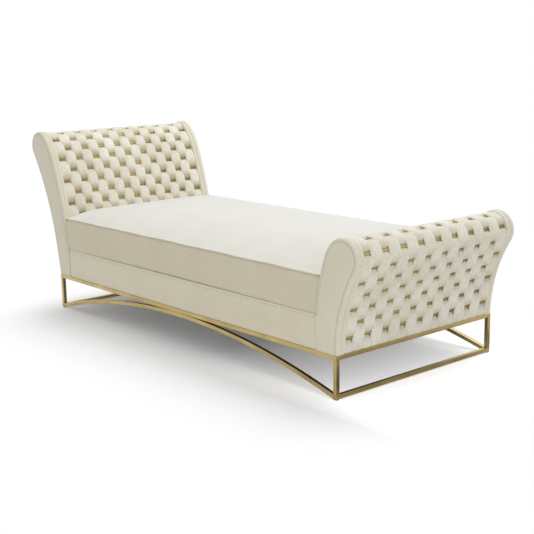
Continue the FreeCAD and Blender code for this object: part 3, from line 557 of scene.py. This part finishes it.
# Gold bars of the weave: solid half-oval metal bar, plated satin gold, one to each row of the weave.
# Each lies across an end from border to border, held between the straps that pass over and under it.
BASE_END = 0.928
BASE_TOP = 0.160
DECK = 0.288
ROW_PITCH = 0.0535
WEAVE_LIFT = 0.010
LIFT_BLEND = 0.055
WEAVE_HALF = 0.387
LAST_ROW_CLEAR = 0.008
SHOULDER_LEAN = 45
OUTLINE_STEP = 0.003


class EndOutline:
    """One curled end from the side: four tangent arcs up the back, over the crest and down to the deck.

    An arc is its centre, its radius, how the radius grows with depth, and its start and stop angles.
    """

    def __init__(self, side, roll, roll_radius, outer_lean, shoulder_radius, inner_lean, deck_u,
                 back_pitch, crest_pitch):
        self.side = side
        outer, shoulder, inner = (math.radians(lean) for lean in (outer_lean, SHOULDER_LEAN, inner_lean))
        foot = (BASE_END, BASE_TOP)
        deck = (deck_u, DECK)
        back_way = (math.cos(outer), -math.sin(outer))
        back_top = self.along(roll, back_way, roll_radius)
        back_radius = self.reach(back_top, back_way, foot)
        back = self.along(back_top, back_way, back_radius)
        shoulder_way = (math.cos(shoulder), -math.sin(shoulder))
        neck = self.along(roll, shoulder_way, shoulder_radius - roll_radius)
        inner_way = (math.cos(inner), -math.sin(inner))
        inner_top = self.along(neck, inner_way, -shoulder_radius)
        inner_radius = self.reach(inner_top, inner_way, deck)
        lap = self.along(inner_top, inner_way, inner_radius)
        self.arcs = [
            (back, back_radius, 1, self.angle(back, foot), math.pi - outer),
            (roll, roll_radius, -1, -outer, math.pi - shoulder),
            (neck, shoulder_radius, -1, math.pi - shoulder, math.pi - inner),
            (lap, inner_radius, -1, math.pi - inner, self.angle(lap, deck)),
        ]
        self.lengths = [arc[1] * abs(arc[4] - arc[3]) for arc in self.arcs]
        self.length = sum(self.lengths)
        back_end = self.lengths[0]
        roll_end = self.lengths[0] + self.lengths[1]
        back_rows = back_end / back_pitch
        roll_rows = back_rows + self.lengths[1] / crest_pitch
        self.rows = {"Back end": back_end, "Roll end": roll_end, "Back rows": back_rows,
                     "Roll rows": roll_rows, "Back pitch": back_pitch, "Crest pitch": crest_pitch,
                     "Row pitch": ROW_PITCH, "Lift": WEAVE_LIFT, "Blend": LIFT_BLEND}
        self.row_count = int(roll_rows + (self.length - LAST_ROW_CLEAR - roll_end) / ROW_PITCH)

    @staticmethod
    def along(point, way, distance):
        """The point at a distance from another, in the direction way."""
        return (point[0] + way[0] * distance, point[1] + way[1] * distance)

    @staticmethod
    def reach(top, way, end):
        """Radius of the arc that leaves top square to way and passes through end."""
        du = end[0] - top[0]
        dz = end[1] - top[1]
        return (du * du + dz * dz) / (2 * (du * way[0] + dz * way[1]))

    @staticmethod
    def angle(centre, point):
        """The direction of a point from a centre, from 0 to a full turn."""
        return math.atan2(point[1] - centre[1], point[0] - centre[0]) % (2 * math.pi)

    def at(self, travel, depth=0.0):
        """The point (x, z) at a distance along the outline and a depth under it."""
        left = travel
        for index, length in enumerate(self.lengths):
            if left <= length or index == len(self.arcs) - 1:
                break
            left -= length
        centre, radius, growth, start, stop = self.arcs[index]
        angle = start + math.copysign(left / radius, stop - start)
        rim = radius + growth * depth
        u = centre[0] + rim * math.cos(angle)
        return (BASE_MIDDLE + self.side * u, centre[1] + rim * math.sin(angle))


outlines = {
    "head": EndOutline(-1, roll=(1.061, 0.755), roll_radius=0.065, outer_lean=33, shoulder_radius=0.296,
                       inner_lean=21.5, deck_u=HEAD_DECK, back_pitch=ROW_PITCH, crest_pitch=ROW_PITCH),
    "foot": EndOutline(1, roll=(0.955, 0.503), roll_radius=0.072, outer_lean=32, shoulder_radius=0.130,
                       inner_lean=22, deck_u=FOOT_DECK, back_pitch=0.0523, crest_pitch=0.077),
}


def outline_host(end):
    """The outline of an end as a line of edges, for a tree to follow."""
    outline = outlines[end]
    count = int(outline.length / OUTLINE_STEP)
    points = [outline.at(outline.length * i / count) for i in range(count + 1)]
    return host_of(end + "_outline", [(x, 0, z) for x, z in points], [(i, i + 1) for i in range(count)])


def bent(value, first, second, slopes):
    """A line with two bends, at first and at second, from nought."""
    after = kept(value - first, second - first)
    return (value.math("MINIMUM", value, first) * slopes[0] + after * slopes[1]
            + above(value - second) * slopes[2])


def weave_lift(wires, travel):
    """How far the weave, drawn straight across the hollow of the back, stands out of the outline."""
    share = travel.math("MINIMUM", travel, wires["Back end"] - travel) / wires["Blend"]
    return kept(share) * wires["Lift"]


def laid_on_outline(wires, strips, travel, along, across, height, side):
    """Move strips onto the outline: a point's travel, its step along and across, and its height."""
    wire = wires["Geometry"]
    path = wire.add("GeometryNodeMeshToCurve", {"Mesh": wire})
    spot = wire.add("GeometryNodeSampleCurve", {"Curves": path, "Length": travel}, out="Position",
                    mode="LENGTH")
    tangent = spot.other("Tangent")
    outward = wire.add("ShaderNodeVectorMath", {0: (0, side, 0), 1: tangent}, operation="CROSS_PRODUCT")
    rise = wire.add("ShaderNodeVectorMath", {0: outward, "Scale": height}, operation="SCALE")
    step = wire.add("ShaderNodeVectorMath", {0: tangent, "Scale": along}, operation="SCALE")
    aside = wire.add("ShaderNodeCombineXYZ", {"Y": across})
    for part in (rise, step, aside):
        spot = wire.add("ShaderNodeVectorMath", {0: spot, 1: part}, operation="ADD")
    return wire.add("GeometryNodeSetPosition", {"Geometry": strips, "Position": spot})


# The bars' gold is a darker copy of the tubes' plated gold: painted shade for the recesses between the
# straps.
bar_gold = plated("satin_bar", (0.52, 0.405, 0.16, 1), (0.315, 0.258, 0.092, 1), 0.52)
hosts = {end: outline_host(end) for end in outlines}
for end, outline in outlines.items():
    sizes = {**outline.rows, "Bars": outline.row_count, "Half length": WEAVE_HALF, "Half height": 0.006,
             "Thickness": 0.0045, "Edge": 0.001, "Back depth": 0.0174}
    tree, wires, keys = rule_tree(end + "_bars", sizes)
    strips, a, b, whole, number = repeated_strips(wires, wires["Bars"], along=4, around=21, label="row")
    turn = b * (2 * math.pi)
    up = turn.math("SINE", turn)
    crown = above(up) * (wires["Thickness"] - wires["Edge"])
    sole = kept(up * -3) * wires["Edge"]
    travel = bent(number + 1, wires["Back rows"], wires["Roll rows"],
                  (wires["Back pitch"], wires["Crest pitch"], wires["Row pitch"]))
    height = (crown + wires["Edge"] - sole) * whole - wires["Back depth"] + weave_lift(wires, travel)
    across = (a * 2 - 1) * wires["Half length"]
    along = turn.math("COSINE", turn) * wires["Half height"] * whole
    bars = laid_on_outline(wires, strips, travel, along, across, height, outline.side)
    tree_end(wires, closed(wires, bars), bar_gold)
    mesh = made_by_rule(hosts[end], tree, keys, sizes)
    mesh_piece(end + "_gold_bars", mesh, bar_gold, "daybed", "gold_bars", end + "_weave_bars")


# Woven straps: tubes of cream velvet stuffed with soft wadding, pinched flat where they dive under a bar.
# They run up the back, over the crest and down to the deck; neighbours take turns over the bars.
strap_velvet = velvet("strap_velvet", (0.865, 0.84, 0.75, 1), (0.57, 0.51, 0.35, 1), gathered_and_shaded=True)
STRAPS = 17
STRAP_STEP = 0.0045
ROUNDING = {"head": 0.78, "foot": 0.5}
# How strong the painted shade at the lower end of each pillow is, at each end.
SHADE_STRENGTH = {"head": 1.5, "foot": 1.0}
RIM_SHARES = (0.2, 0.8)
ROUNDNESS = 0.8
for end, outline in outlines.items():
    for phase, name in ((0, "odd"), (1, "even")):
        sizes = {**outline.rows, "Straps": (STRAPS + 1 - phase) // 2, "Phase": float(phase),
                 "Strap pitch": 2 * WEAVE_HALF / STRAPS, "Start": 0.0002, "Stop": outline.length,
                 "Pinch half width": 0.0256, "Bulge half width": 0.0288, "Pinch depth": 0.0182,
                 "Crest depth": 0.0010, "Edge drop": 0.0117, "Underside": 0.0002, "Flat": 0.12,
                 "Rise": ROUNDING[end], "Shade strength": SHADE_STRENGTH[end], "Taut run": 0.06, "Tightened": 0.0022,
                 "Flattened": 0.25, "Crest shade cut": 0.8}
        tree, wires, keys = rule_tree(f"{end}_straps_{name}", sizes)
        strips, a, b, whole, number = repeated_strips(
            wires, wires["Straps"], along=int(outline.length / STRAP_STEP), around=21, label="strap")
        travel = wires["Start"] + a * (wires["Stop"] - wires["Start"])
        row = bent(travel, wires["Back end"], wires["Roll end"],
                   (1 / wires["Back pitch"], 1 / wires["Crest pitch"], 1 / wires["Row pitch"]))
        eased = a.math("MAXIMUM", row, (row + 1) * 0.5)
        clear = a.math("PINGPONG", eased + (1 - wires["Phase"]), 1.0)
        onward = a.math("FLOORED_MODULO", eased + (1 - wires["Phase"]), 2.0) - 1
        downward = a.math("SIGN", travel - wires["Back end"] * 0.5 - wires["Roll end"] * 0.5)
        # Painted shade: the lower end of each pillow, where the strap turns in by a bar, is marked darker.
        painted_shade = above(onward * downward) ** 2.0
        swell = 0.5 - a.math("COSINE", clear * math.pi) * 0.5
        half = wires["Pinch half width"] + (wires["Bulge half width"] - wires["Pinch half width"]) * swell
        lift = kept((clear - wires["Flat"]) / wires["Rise"])
        dome = (1 - (1 - lift) ** 2.0) ** 0.5
        taut_end = wires["Roll end"] + wires["Taut run"]
        over_crest = a.math("MINIMUM", travel - wires["Back end"], taut_end - travel)
        taut = kept(over_crest / wires["Taut run"])
        # The painted shade is lessened over the crest and scaled per end.
        painted_shade = painted_shade * (1 - taut * wires["Crest shade cut"]) * wires["Shade strength"]
        crest = wires["Crest depth"] + taut * wires["Tightened"]
        top = wires["Pinch depth"] - (wires["Pinch depth"] - crest) * dome
        turn = b * (2 * math.pi)
        up = a.math("SINE", turn)
        aside = a.math("COSINE", turn)
        rim = wires["Edge drop"] * (RIM_SHARES[0] + swell * RIM_SHARES[1]) * (1 - taut * wires["Flattened"])
        edge = top + rim
        depth = edge + (above(up * -1) * wires["Underside"] - above(up) ** ROUNDNESS * rim) * whole
        width = a.math("SIGN", aside) * a.math("ABSOLUTE", aside) ** ROUNDNESS * half * whole
        middle = (number * 2 + wires["Phase"] - (STRAPS - 1) / 2) * wires["Strap pitch"]
        for label, value in (("pinch", 1 - swell), ("painted_shade", painted_shade), ("across", width)):
            strips = a.add("GeometryNodeStoreNamedAttribute",
                           {"Geometry": strips, "Name": label, "Value": value})
        height = weave_lift(wires, travel) - depth
        strips = laid_on_outline(wires, strips, travel, 0.0, middle + width, height, outline.side)
        tree_end(wires, closed(wires, strips), strap_velvet)
        mesh = made_by_rule(hosts[end], tree, keys, sizes)
        straps = mesh_piece(f"{end}_woven_straps_{name}", mesh, strap_velvet, "daybed", "velvet",
                            f"{end}_straps_{name}")


# Borders and edge rolls: two strips of velvet over wadding that frame each weave, sewn to one another.
# The border lies flat beside the straps, and the roll turns over the edge to meet the facing.
# Their velvet is a darker copy of the facings' velvet; the darker tone is painted shade.
roll_velvet = velvet("roll_velvet", (0.775, 0.735, 0.60, 1), (0.675, 0.63, 0.485, 1))
EDGING_STEP = 0.005
SEAM_CORNER = 0.125
EDGE_SWELL = 0.0035
SWELL_RUN = 0.08


def edging(end, name, sizes, rounding, node):
    """A pair of swept strips, front and rear: rounding says which corners of the section are soft."""
    tree, wires, keys = rule_tree(f"{end}_{name}", sizes)
    strips, a, b, whole, number = repeated_strips(
        wires, wires["Strips"], along=int(outlines[end].length / EDGING_STEP), around=33, label="strip")
    turn = (b + SEAM_CORNER) * (2 * math.pi)
    out, up = a.math("COSINE", turn), a.math("SINE", turn)
    softness = rounding(above(out), above(up)) * wires["Softness"] + wires["Least softness"]
    wide = a.math("SIGN", out) * a.math("ABSOLUTE", out) ** softness
    high = a.math("SIGN", up) * a.math("ABSOLUTE", up) ** softness
    travel = wires["Start"] + a * (wires["Stop"] - wires["Start"])
    dip = above(wide * -1) ** wires["Seam closeness"] * above(high) * wires["Seam dip"]
    drawn = weave_lift(wires, travel) * (0.5 - wide * 0.5) * above(high) * wires["Drawn up"]
    rise = wires["Proud"] - wires["Half depth"] + (high * wires["Half depth"] - dip + drawn) * whole
    swell = above(wide) * a.math("MINIMUM", travel / wires["Swell run"], 1.0) * wires["Swell"]
    across = (number * 2 - 1) * (wires["Middle"] + (wide * wires["Half width"] + swell) * whole)
    strips = laid_on_outline(wires, strips, travel, 0.0, across, rise, outlines[end].side)
    tree_end(wires, closed(wires, strips), roll_velvet)
    mesh = made_by_rule(hosts[end], tree, keys, sizes)
    strip = mesh_piece(f"{end}_{name}", mesh, roll_velvet, "daybed", "velvet", node)


for end, outline in outlines.items():
    shared = {**outline.rows, "Strips": 2, "Start": 0.0002, "Stop": outline.length - 0.0004,
              "Least softness": 0.22, "Seam closeness": 6.0, "Swell run": SWELL_RUN}
    border = {"Middle": 0.396, "Half width": 0.0091, "Half depth": 0.0140, "Proud": 0.0012, "Swell": 0.0,
              "Softness": 0.45, "Seam dip": 0.0, "Drawn up": 1.0}
    rolled = {"Middle": 0.4145, "Half width": 0.0090, "Half depth": 0.0072, "Proud": 0.0022,
              "Swell": EDGE_SWELL, "Softness": 1.5, "Seam dip": 0.0010, "Drawn up": 0.0}
    edging(end, "border_strips", {**shared, **border}, lambda out, up: up * (1 - out), f"{end}_borders")
    edging(end, "rolled_edges", {**shared, **rolled}, lambda out, up: out * up, f"{end}_edge_rolls")
for host in hosts.values():
    bpy.data.objects.remove(host)


# Facings: plywood boards padded with thin wadding and covered in velvet, one on each side of both ends.
# They are drawn tight, pinned inside the rolled edge, and reach down to the metal base.
end_velvet = velvet("end_velvet", (0.85, 0.80, 0.65, 1), (0.75, 0.69, 0.525, 1))
FACING_DEPTH = 0.0123
FACING_FLOOR = 0.1602
FACING_STEP = 0.007
FACING_COLUMNS = 25
CREST_ROWS = 22
OUTLINE_POINTS = 900
LAP_JOIN = 0.0006
FACING_RIM = 0.0182
FACING_PUFF = 0.0014
FACING_SHOULDER = 0.016
DRAPE = 0.0005
DRAPE_INSET = 0.02


def facing_spots(end):
    """Rows of flat spots over a facing: level up to the roll, then closing to a point at the crest."""
    outline = outlines[end]
    travels = np.linspace(0, outline.length, OUTLINE_POINTS)
    points = np.array([outline.at(travel, FACING_DEPTH) for travel in travels])
    crest = int(points[:, 1].argmax())
    back, lap = points[:crest + 1], points[crest:][::-1]
    inner_x = BASE_MIDDLE + outline.side * ((HEAD_DECK if end == "head" else FOOT_DECK) + PANEL_GAP)
    lap = np.concatenate([[(inner_x, FACING_FLOOR), (inner_x, lap[0, 1] - LAP_JOIN)], lap])
    middle = outline.arcs[1][0][1]
    rows = []
    for height in np.linspace(FACING_FLOOR, middle, int((middle - FACING_FLOOR) / FACING_STEP)):
        outer, inner = (np.interp(height, chain[:, 1], chain[:, 0]) for chain in (back, lap))
        rows.append((outer, height, inner, height))
    arcs = []
    for chain in (back, lap):
        cap = chain[chain[:, 1] > middle]
        way = np.concatenate([[0], np.cumsum(np.linalg.norm(np.diff(cap, axis=0), axis=1))])
        share = np.linspace(0, way[-1], CREST_ROWS)[1:]
        arcs.append(np.stack([np.interp(share, way, cap[:, i]) for i in (0, 1)], axis=-1))
    rows += [(*outer, *inner) for outer, inner in zip(*arcs)]
    rows = np.array(rows)
    across = np.linspace(0, 1, FACING_COLUMNS)[None, :, None]
    return rows[:, None, :2] * (1 - across) + rows[:, None, 2:] * across


for end in outlines:
    spots = facing_spots(end)
    inset = edge_distance(spots)
    drape = DRAPE * np.sin(spots[..., 0] * 23 + 1) * np.sin(spots[..., 1] * 17)
    drape *= np.clip(inset / DRAPE_INSET, 0, 1)
    stand = FACING_RIM + FACING_PUFF * puffed(inset, FACING_SHOULDER) + drape
    stand += EDGE_SWELL * np.clip((spots[..., 1] - FACING_FLOOR) / SWELL_RUN, 0, 1)
    for side, name in SIDES:
        mesh = panel_mesh(spots, 0 * stand, stand, upright(side))
        facing = mesh_piece(f"{end}_facing_{name}_velvet", mesh, end_velvet, "daybed", "velvet",
                            f"{end}_facing_{name}")


# Mattress: a loose boxed cushion, a foam block wrapped in soft wadding under a velvet cover.
# Its top and bottom panels are sewn to a boxing strip, and the top crowns up between the ends.
MATTRESS_SIZE = (1.70, 0.84)
MATTRESS_HALF = 0.4215
MATTRESS_LOW = 0.2884
MATTRESS_STEP = 0.016
SEAM_LEVEL = 0.4318
SEAM_BAND = 0.01
SEAM_WAVES = ((0.0007, 33, 1), (0.0004, 71, 2))
TOP_FROM = SEAM_LEVEL + 0.001
SIDE_DRAW = 0.004
SEAM_ROWS = [(0.0080, 0.0042), (0.0018, 0.0026), (0.0004, -0.0002), (0.0016, -0.0022), (0.0072, -0.0036),
             (0.0070, -0.0052), (0.0014, -0.0070)]
BASE_ROWS = [(0.0, 0.0050), (0.0006, 0.0016), (0.0030, 0.0)]
BOXING_ROWS = 9
BOXING_INSET = 0.006
BOXING_SWELL = 0.004
CROWN_LOW = 0.016
CROWN_RISE = 0.050
CROWN_FALL = 0.026
HEAD_SLOPE = 0.40
FOOT_SLOPE = 0.22
CROWN_POWERS = (10, 6)
LAP_FROM = 0.55
END_GAP = 0.0012
PRESSURE = 4.0
MOST_MOVED = 0.006
CLOTH_FRAMES = 20


def lap_line(outline):
    """The inner side of an end, just clear of its woven face, as points from the deck upwards."""
    travels = np.linspace(outline.length * LAP_FROM, outline.length, 300)
    return np.array([outline.at(travel, -END_GAP) for travel in travels])[::-1]


lap_lines = [lap_line(outline) for outline in outlines.values()]


def mattress_ends(height):
    """Where the mattress ends at a height, between the two woven faces."""
    return [np.interp(height, line[:, 1], line[:, 0]) for line in lap_lines]


def crown(along, across):
    """How high the top panel stands over its seam: full in the middle, less at the ends."""
    from_head = along * MATTRESS_SIZE[0]
    from_foot = (1 - along) * MATTRESS_SIZE[0]
    head_share = np.sin(np.pi / 2 * np.clip(from_head / HEAD_SLOPE, 0, 1))
    foot_share = np.sin(np.pi / 2 * np.clip(from_foot / FOOT_SLOPE, 0, 1))
    full = CROWN_LOW + CROWN_RISE * head_share - CROWN_FALL * (1 - foot_share)
    return full * (1 - abs(across) ** (CROWN_POWERS[0] - CROWN_POWERS[1] * head_share))


def boxed_cushion():
    """A closed mesh of quads, and the weight by which each point is held while it is blown up."""
    count_x, count_y = (int(size / MATTRESS_STEP) for size in MATTRESS_SIZE)
    loop = [(i, 0) for i in range(count_x)] + [(count_x, j) for j in range(count_y)]
    loop += [(i, count_y) for i in range(count_x, 0, -1)] + [(0, j) for j in range(count_y, 0, -1)]
    boxing = np.linspace(MATTRESS_LOW + BOXING_INSET, SEAM_LEVEL - BOXING_INSET, BOXING_ROWS)[::-1][1:-1]
    rows = [(inset, SEAM_LEVEL + rise, 1.0) for inset, rise in SEAM_ROWS]
    for height in boxing:
        share = (height - MATTRESS_LOW) / (SEAM_LEVEL - MATTRESS_LOW)
        rows.append((-BOXING_SWELL * math.sin(math.pi * share), height, 0.0))
    rows += [(inset, MATTRESS_LOW + rise, 1.0) for inset, rise in BASE_ROWS]
    points, held = [], []

    def add(i, j, inset, height, hold):
        along, across = i / count_x, 2 * j / count_y - 1
        head, foot = mattress_ends(height)
        half = MATTRESS_HALF - SIDE_DRAW * math.sin(math.pi * along) - inset
        if hold and height > SEAM_LEVEL - SEAM_BAND:
            height += sum(size * math.sin(along * rate + across * shift) for size, rate, shift in SEAM_WAVES)
        points.append((head + inset + along * (foot - head - 2 * inset), across * half, height))
        held.append(hold)
        return len(points) - 1

    rings = [[add(i, j, *row) for i, j in loop] for row in rows]
    faces = []
    for upper, lower in zip(rings, rings[1:]):
        for k in range(len(loop)):
            after = (k + 1) % len(loop)
            faces.append((upper[k], lower[k], lower[after], upper[after]))
    for ring, is_top in ((rings[0], True), (rings[-1], False)):
        inset, rim_height, _ = rows[0] if is_top else rows[-1]
        index = dict(zip(loop, ring))
        for i in range(1, count_x):
            for j in range(1, count_y):
                rise = crown(i / count_x, 2 * j / count_y - 1) if is_top else 0.0
                index[i, j] = add(i, j, inset, rim_height + rise, 0.0 if is_top else 1.0)
        for i in range(count_x):
            for j in range(count_y):
                quad = (index[i, j], index[i + 1, j], index[i + 1, j + 1], index[i, j + 1])
                faces.append(quad if is_top else quad[::-1])
    mesh = bpy.data.meshes.new("mattress_cushion")
    mesh.from_pydata(points, [], faces)
    top = mesh.attributes.new("top", "FLOAT", "POINT")
    top.data.foreach_set("value", [float(point[2] > TOP_FROM) for point in points])
    face_outwards(mesh)
    mesh.shade_smooth()
    return mesh, held


def blow_up(mesh, held):
    """Blow a held cover up as cloth, and keep the result with no point moved further than it may."""
    cover = bpy.data.objects.new("cover", mesh)
    bpy.context.scene.collection.objects.link(cover)
    group = cover.vertex_groups.new(name="held")
    for index, weight in enumerate(held):
        group.add([index], weight, "REPLACE")
    cloth = cover.modifiers.new("cloth", "CLOTH")
    cloth.settings.vertex_group_mass = "held"
    cloth.settings.use_pressure = True
    cloth.settings.uniform_pressure_force = PRESSURE
    cloth.settings.effector_weights.gravity = 0
    cloth.settings.quality = 5
    cloth.point_cache.frame_start, cloth.point_cache.frame_end = 1, CLOTH_FRAMES
    for number in range(1, CLOTH_FRAMES + 1):
        bpy.context.scene.frame_set(number)
    shown = cover.evaluated_get(bpy.context.evaluated_depsgraph_get())
    start = np.array([point.co for point in mesh.vertices])
    moved = np.array([point.co for point in shown.data.vertices]) - start
    far = np.linalg.norm(moved, axis=1, keepdims=True)
    moved *= np.minimum(1, MOST_MOVED / np.maximum(far, 1e-9))
    bpy.context.scene.frame_set(1)
    bpy.data.objects.remove(cover)
    mesh.vertices.foreach_set("co", (start + moved).ravel())
    mesh.update()


mesh, held = boxed_cushion()
blow_up(mesh, held)
# The paler colours for the top panel are painted light.
mattress_velvet = velvet("mattress_velvet", (0.79, 0.73, 0.555, 1), (0.69, 0.625, 0.445, 1),
                         painted_lit_top=((0.715, 0.69, 0.60, 1), (0.82, 0.795, 0.71, 1)))
mattress = mesh_piece("mattress_cushion", mesh, mattress_velvet, "mattress", "mattress_velvet",
                      "mattress_cover")
smooth = mattress.modifiers.new("smooth", "SUBSURF")
smooth.levels = smooth.render_levels = 1

foam, shader, place = finish_of("mattress_foam")
cells = place.add("ShaderNodeTexVoronoi", {"Vector": place, "Scale": 700.0})
feed(shader, Base_Color=mixed(cells, (0.70, 0.66, 0.55, 1), (0.82, 0.79, 0.70, 1)), Roughness=0.9,
     Normal=bumped(cells, 0.0006))
dress("mattress_core", foam)


# Studio: a pale floor that fades into a white backdrop, soft light from above and from the foot end.
# The floor glows a little under the seat, and past the foot it shows brown in the metal.
# The camera stands where the photograph was taken from.
FLOOR_REACH = 9
SHADED_MIDDLE = 0.2
SHADED_HALF = (0.78, 0.3)
SIDE_SHARE = 0.8
FADE_SPAN = (0.2, 0.55)
UNDER_SPAN = (0.2, 0.1)
FOOT_SPAN = (0.2, 0.95)
GLOW = 0.06
UNDER_GLOW = 0.06
FOOT_GLOW = 0.36
MIRROR_SPAN = (0.98, 1.06)
AMBIENT = 0.65
LAMPS = (("over", (0.1, 1.2, 3.1), 3.0, 58), ("foot_side", (3.1, -1.0, 0.85), 1.4, 11))
LAMP_TINT = (0.97, 0.99, 1.04)
LAMP_AIM = (0, 0, 0.3)
CAMERA_SPOT = (3.4814, -2.8783, 1.2272)
CAMERA_TURNS = (49.39, 12.08, -0.96)


def span_share(value, span, **settings):
    """How far a wire's value is along a span, from 0 to 1."""
    links = {"Value": value, "From Min": span[0], "From Max": span[1]}
    return value.add("ShaderNodeMapRange", links, **settings)


floor_mesh = bpy.data.meshes.new("studio_floor")
floor_corners = [(x * FLOOR_REACH, y * FLOOR_REACH, 0) for x, y in ((-1, -1), (1, -1), (1, 1), (-1, 1))]
floor_mesh.from_pydata(floor_corners, [], [(0, 1, 2, 3)])
floor = bpy.data.objects.new("studio_floor", floor_mesh)
bpy.context.scene.collection.objects.link(floor)
paper, shader, place = finish_of("studio_paper")
spot = place.add("ShaderNodeSeparateXYZ", {"Vector": place})
past_end = above(place.math("ABSOLUTE", spot - SHADED_MIDDLE) - SHADED_HALF[0])
past_side = above(place.math("ABSOLUTE", spot.other("Y")) - SHADED_HALF[1]) * SIDE_SHARE
away = (past_end ** 2.0 + past_side ** 2.0) ** 0.5
fade = span_share(away, FADE_SPAN, interpolation_type="SMOOTHSTEP")
near_foot = span_share(spot, FOOT_SPAN)
under = span_share(past_side, UNDER_SPAN)
glow = under * (near_foot * FOOT_GLOW + UNDER_GLOW) + GLOW
ray = place.add("ShaderNodeLightPath", out="Is Camera Ray")
past_foot = span_share(spot, MIRROR_SPAN)
mirrored = mixed(ray.other("Is Glossy Ray") * past_foot, (0.93, 0.93, 0.935, 1), (0.08, 0.05, 0.02, 1))
feed(shader, Base_Color=mirrored, Roughness=1.0, Specular_IOR_Level=0.0, Alpha=1 - fade,
     Emission_Color=mixed(ray * glow, (0, 0, 0, 1), (1, 1, 1, 1)), Emission_Strength=1.0)
floor_mesh.materials.append(paper)

world = bpy.data.worlds.new("studio_world")
bpy.context.scene.world = world
world.use_nodes = True
sky = Wire(world.node_tree)
ray = sky.add("ShaderNodeLightPath", out="Is Camera Ray")
seen = ray + ray.other("Is Glossy Ray") + ray.other("Is Transmission Ray")
seen = sky.math("MINIMUM", seen, 1.0)
backdrop = world.node_tree.nodes["Background"]
world.node_tree.links.new((AMBIENT + seen * (1 - AMBIENT)).socket, backdrop.inputs["Strength"])
backdrop.inputs["Color"].default_value = (1, 1, 1, 1)

for name, spot, size, power in LAMPS:
    lamp = bpy.data.lights.new(name, "AREA")
    lamp.size = size
    lamp.energy = power
    lamp.color = LAMP_TINT
    lamp_object = bpy.data.objects.new(name, lamp)
    lamp_object.location = spot
    lamp_object.rotation_mode = "QUATERNION"
    lamp_object.rotation_quaternion = (Vector(LAMP_AIM) - Vector(spot)).to_track_quat("-Z", "Y")
    bpy.context.scene.collection.objects.link(lamp_object)

camera = bpy.data.cameras.new("camera")
camera.lens = 71.57
camera.sensor_width = 36
camera.clip_end = 60
viewer = bpy.data.objects.new("camera", camera)
azimuth, elevation, roll = (math.radians(angle) for angle in CAMERA_TURNS)
back = Vector((math.sin(azimuth) * math.cos(elevation), -math.cos(azimuth) * math.cos(elevation),
               math.sin(elevation)))
right = Vector((math.cos(azimuth), math.sin(azimuth), 0))
top = back.cross(right)
right, top = (right * math.cos(roll) + top * math.sin(roll), top * math.cos(roll) - right * math.sin(roll))
stand = Matrix((right, top, back)).transposed().to_4x4()
stand.translation = CAMERA_SPOT
viewer.matrix_world = stand
bpy.context.scene.collection.objects.link(viewer)
bpy.context.scene.camera = viewer
bpy.context.scene.view_settings.view_transform = "Standard"
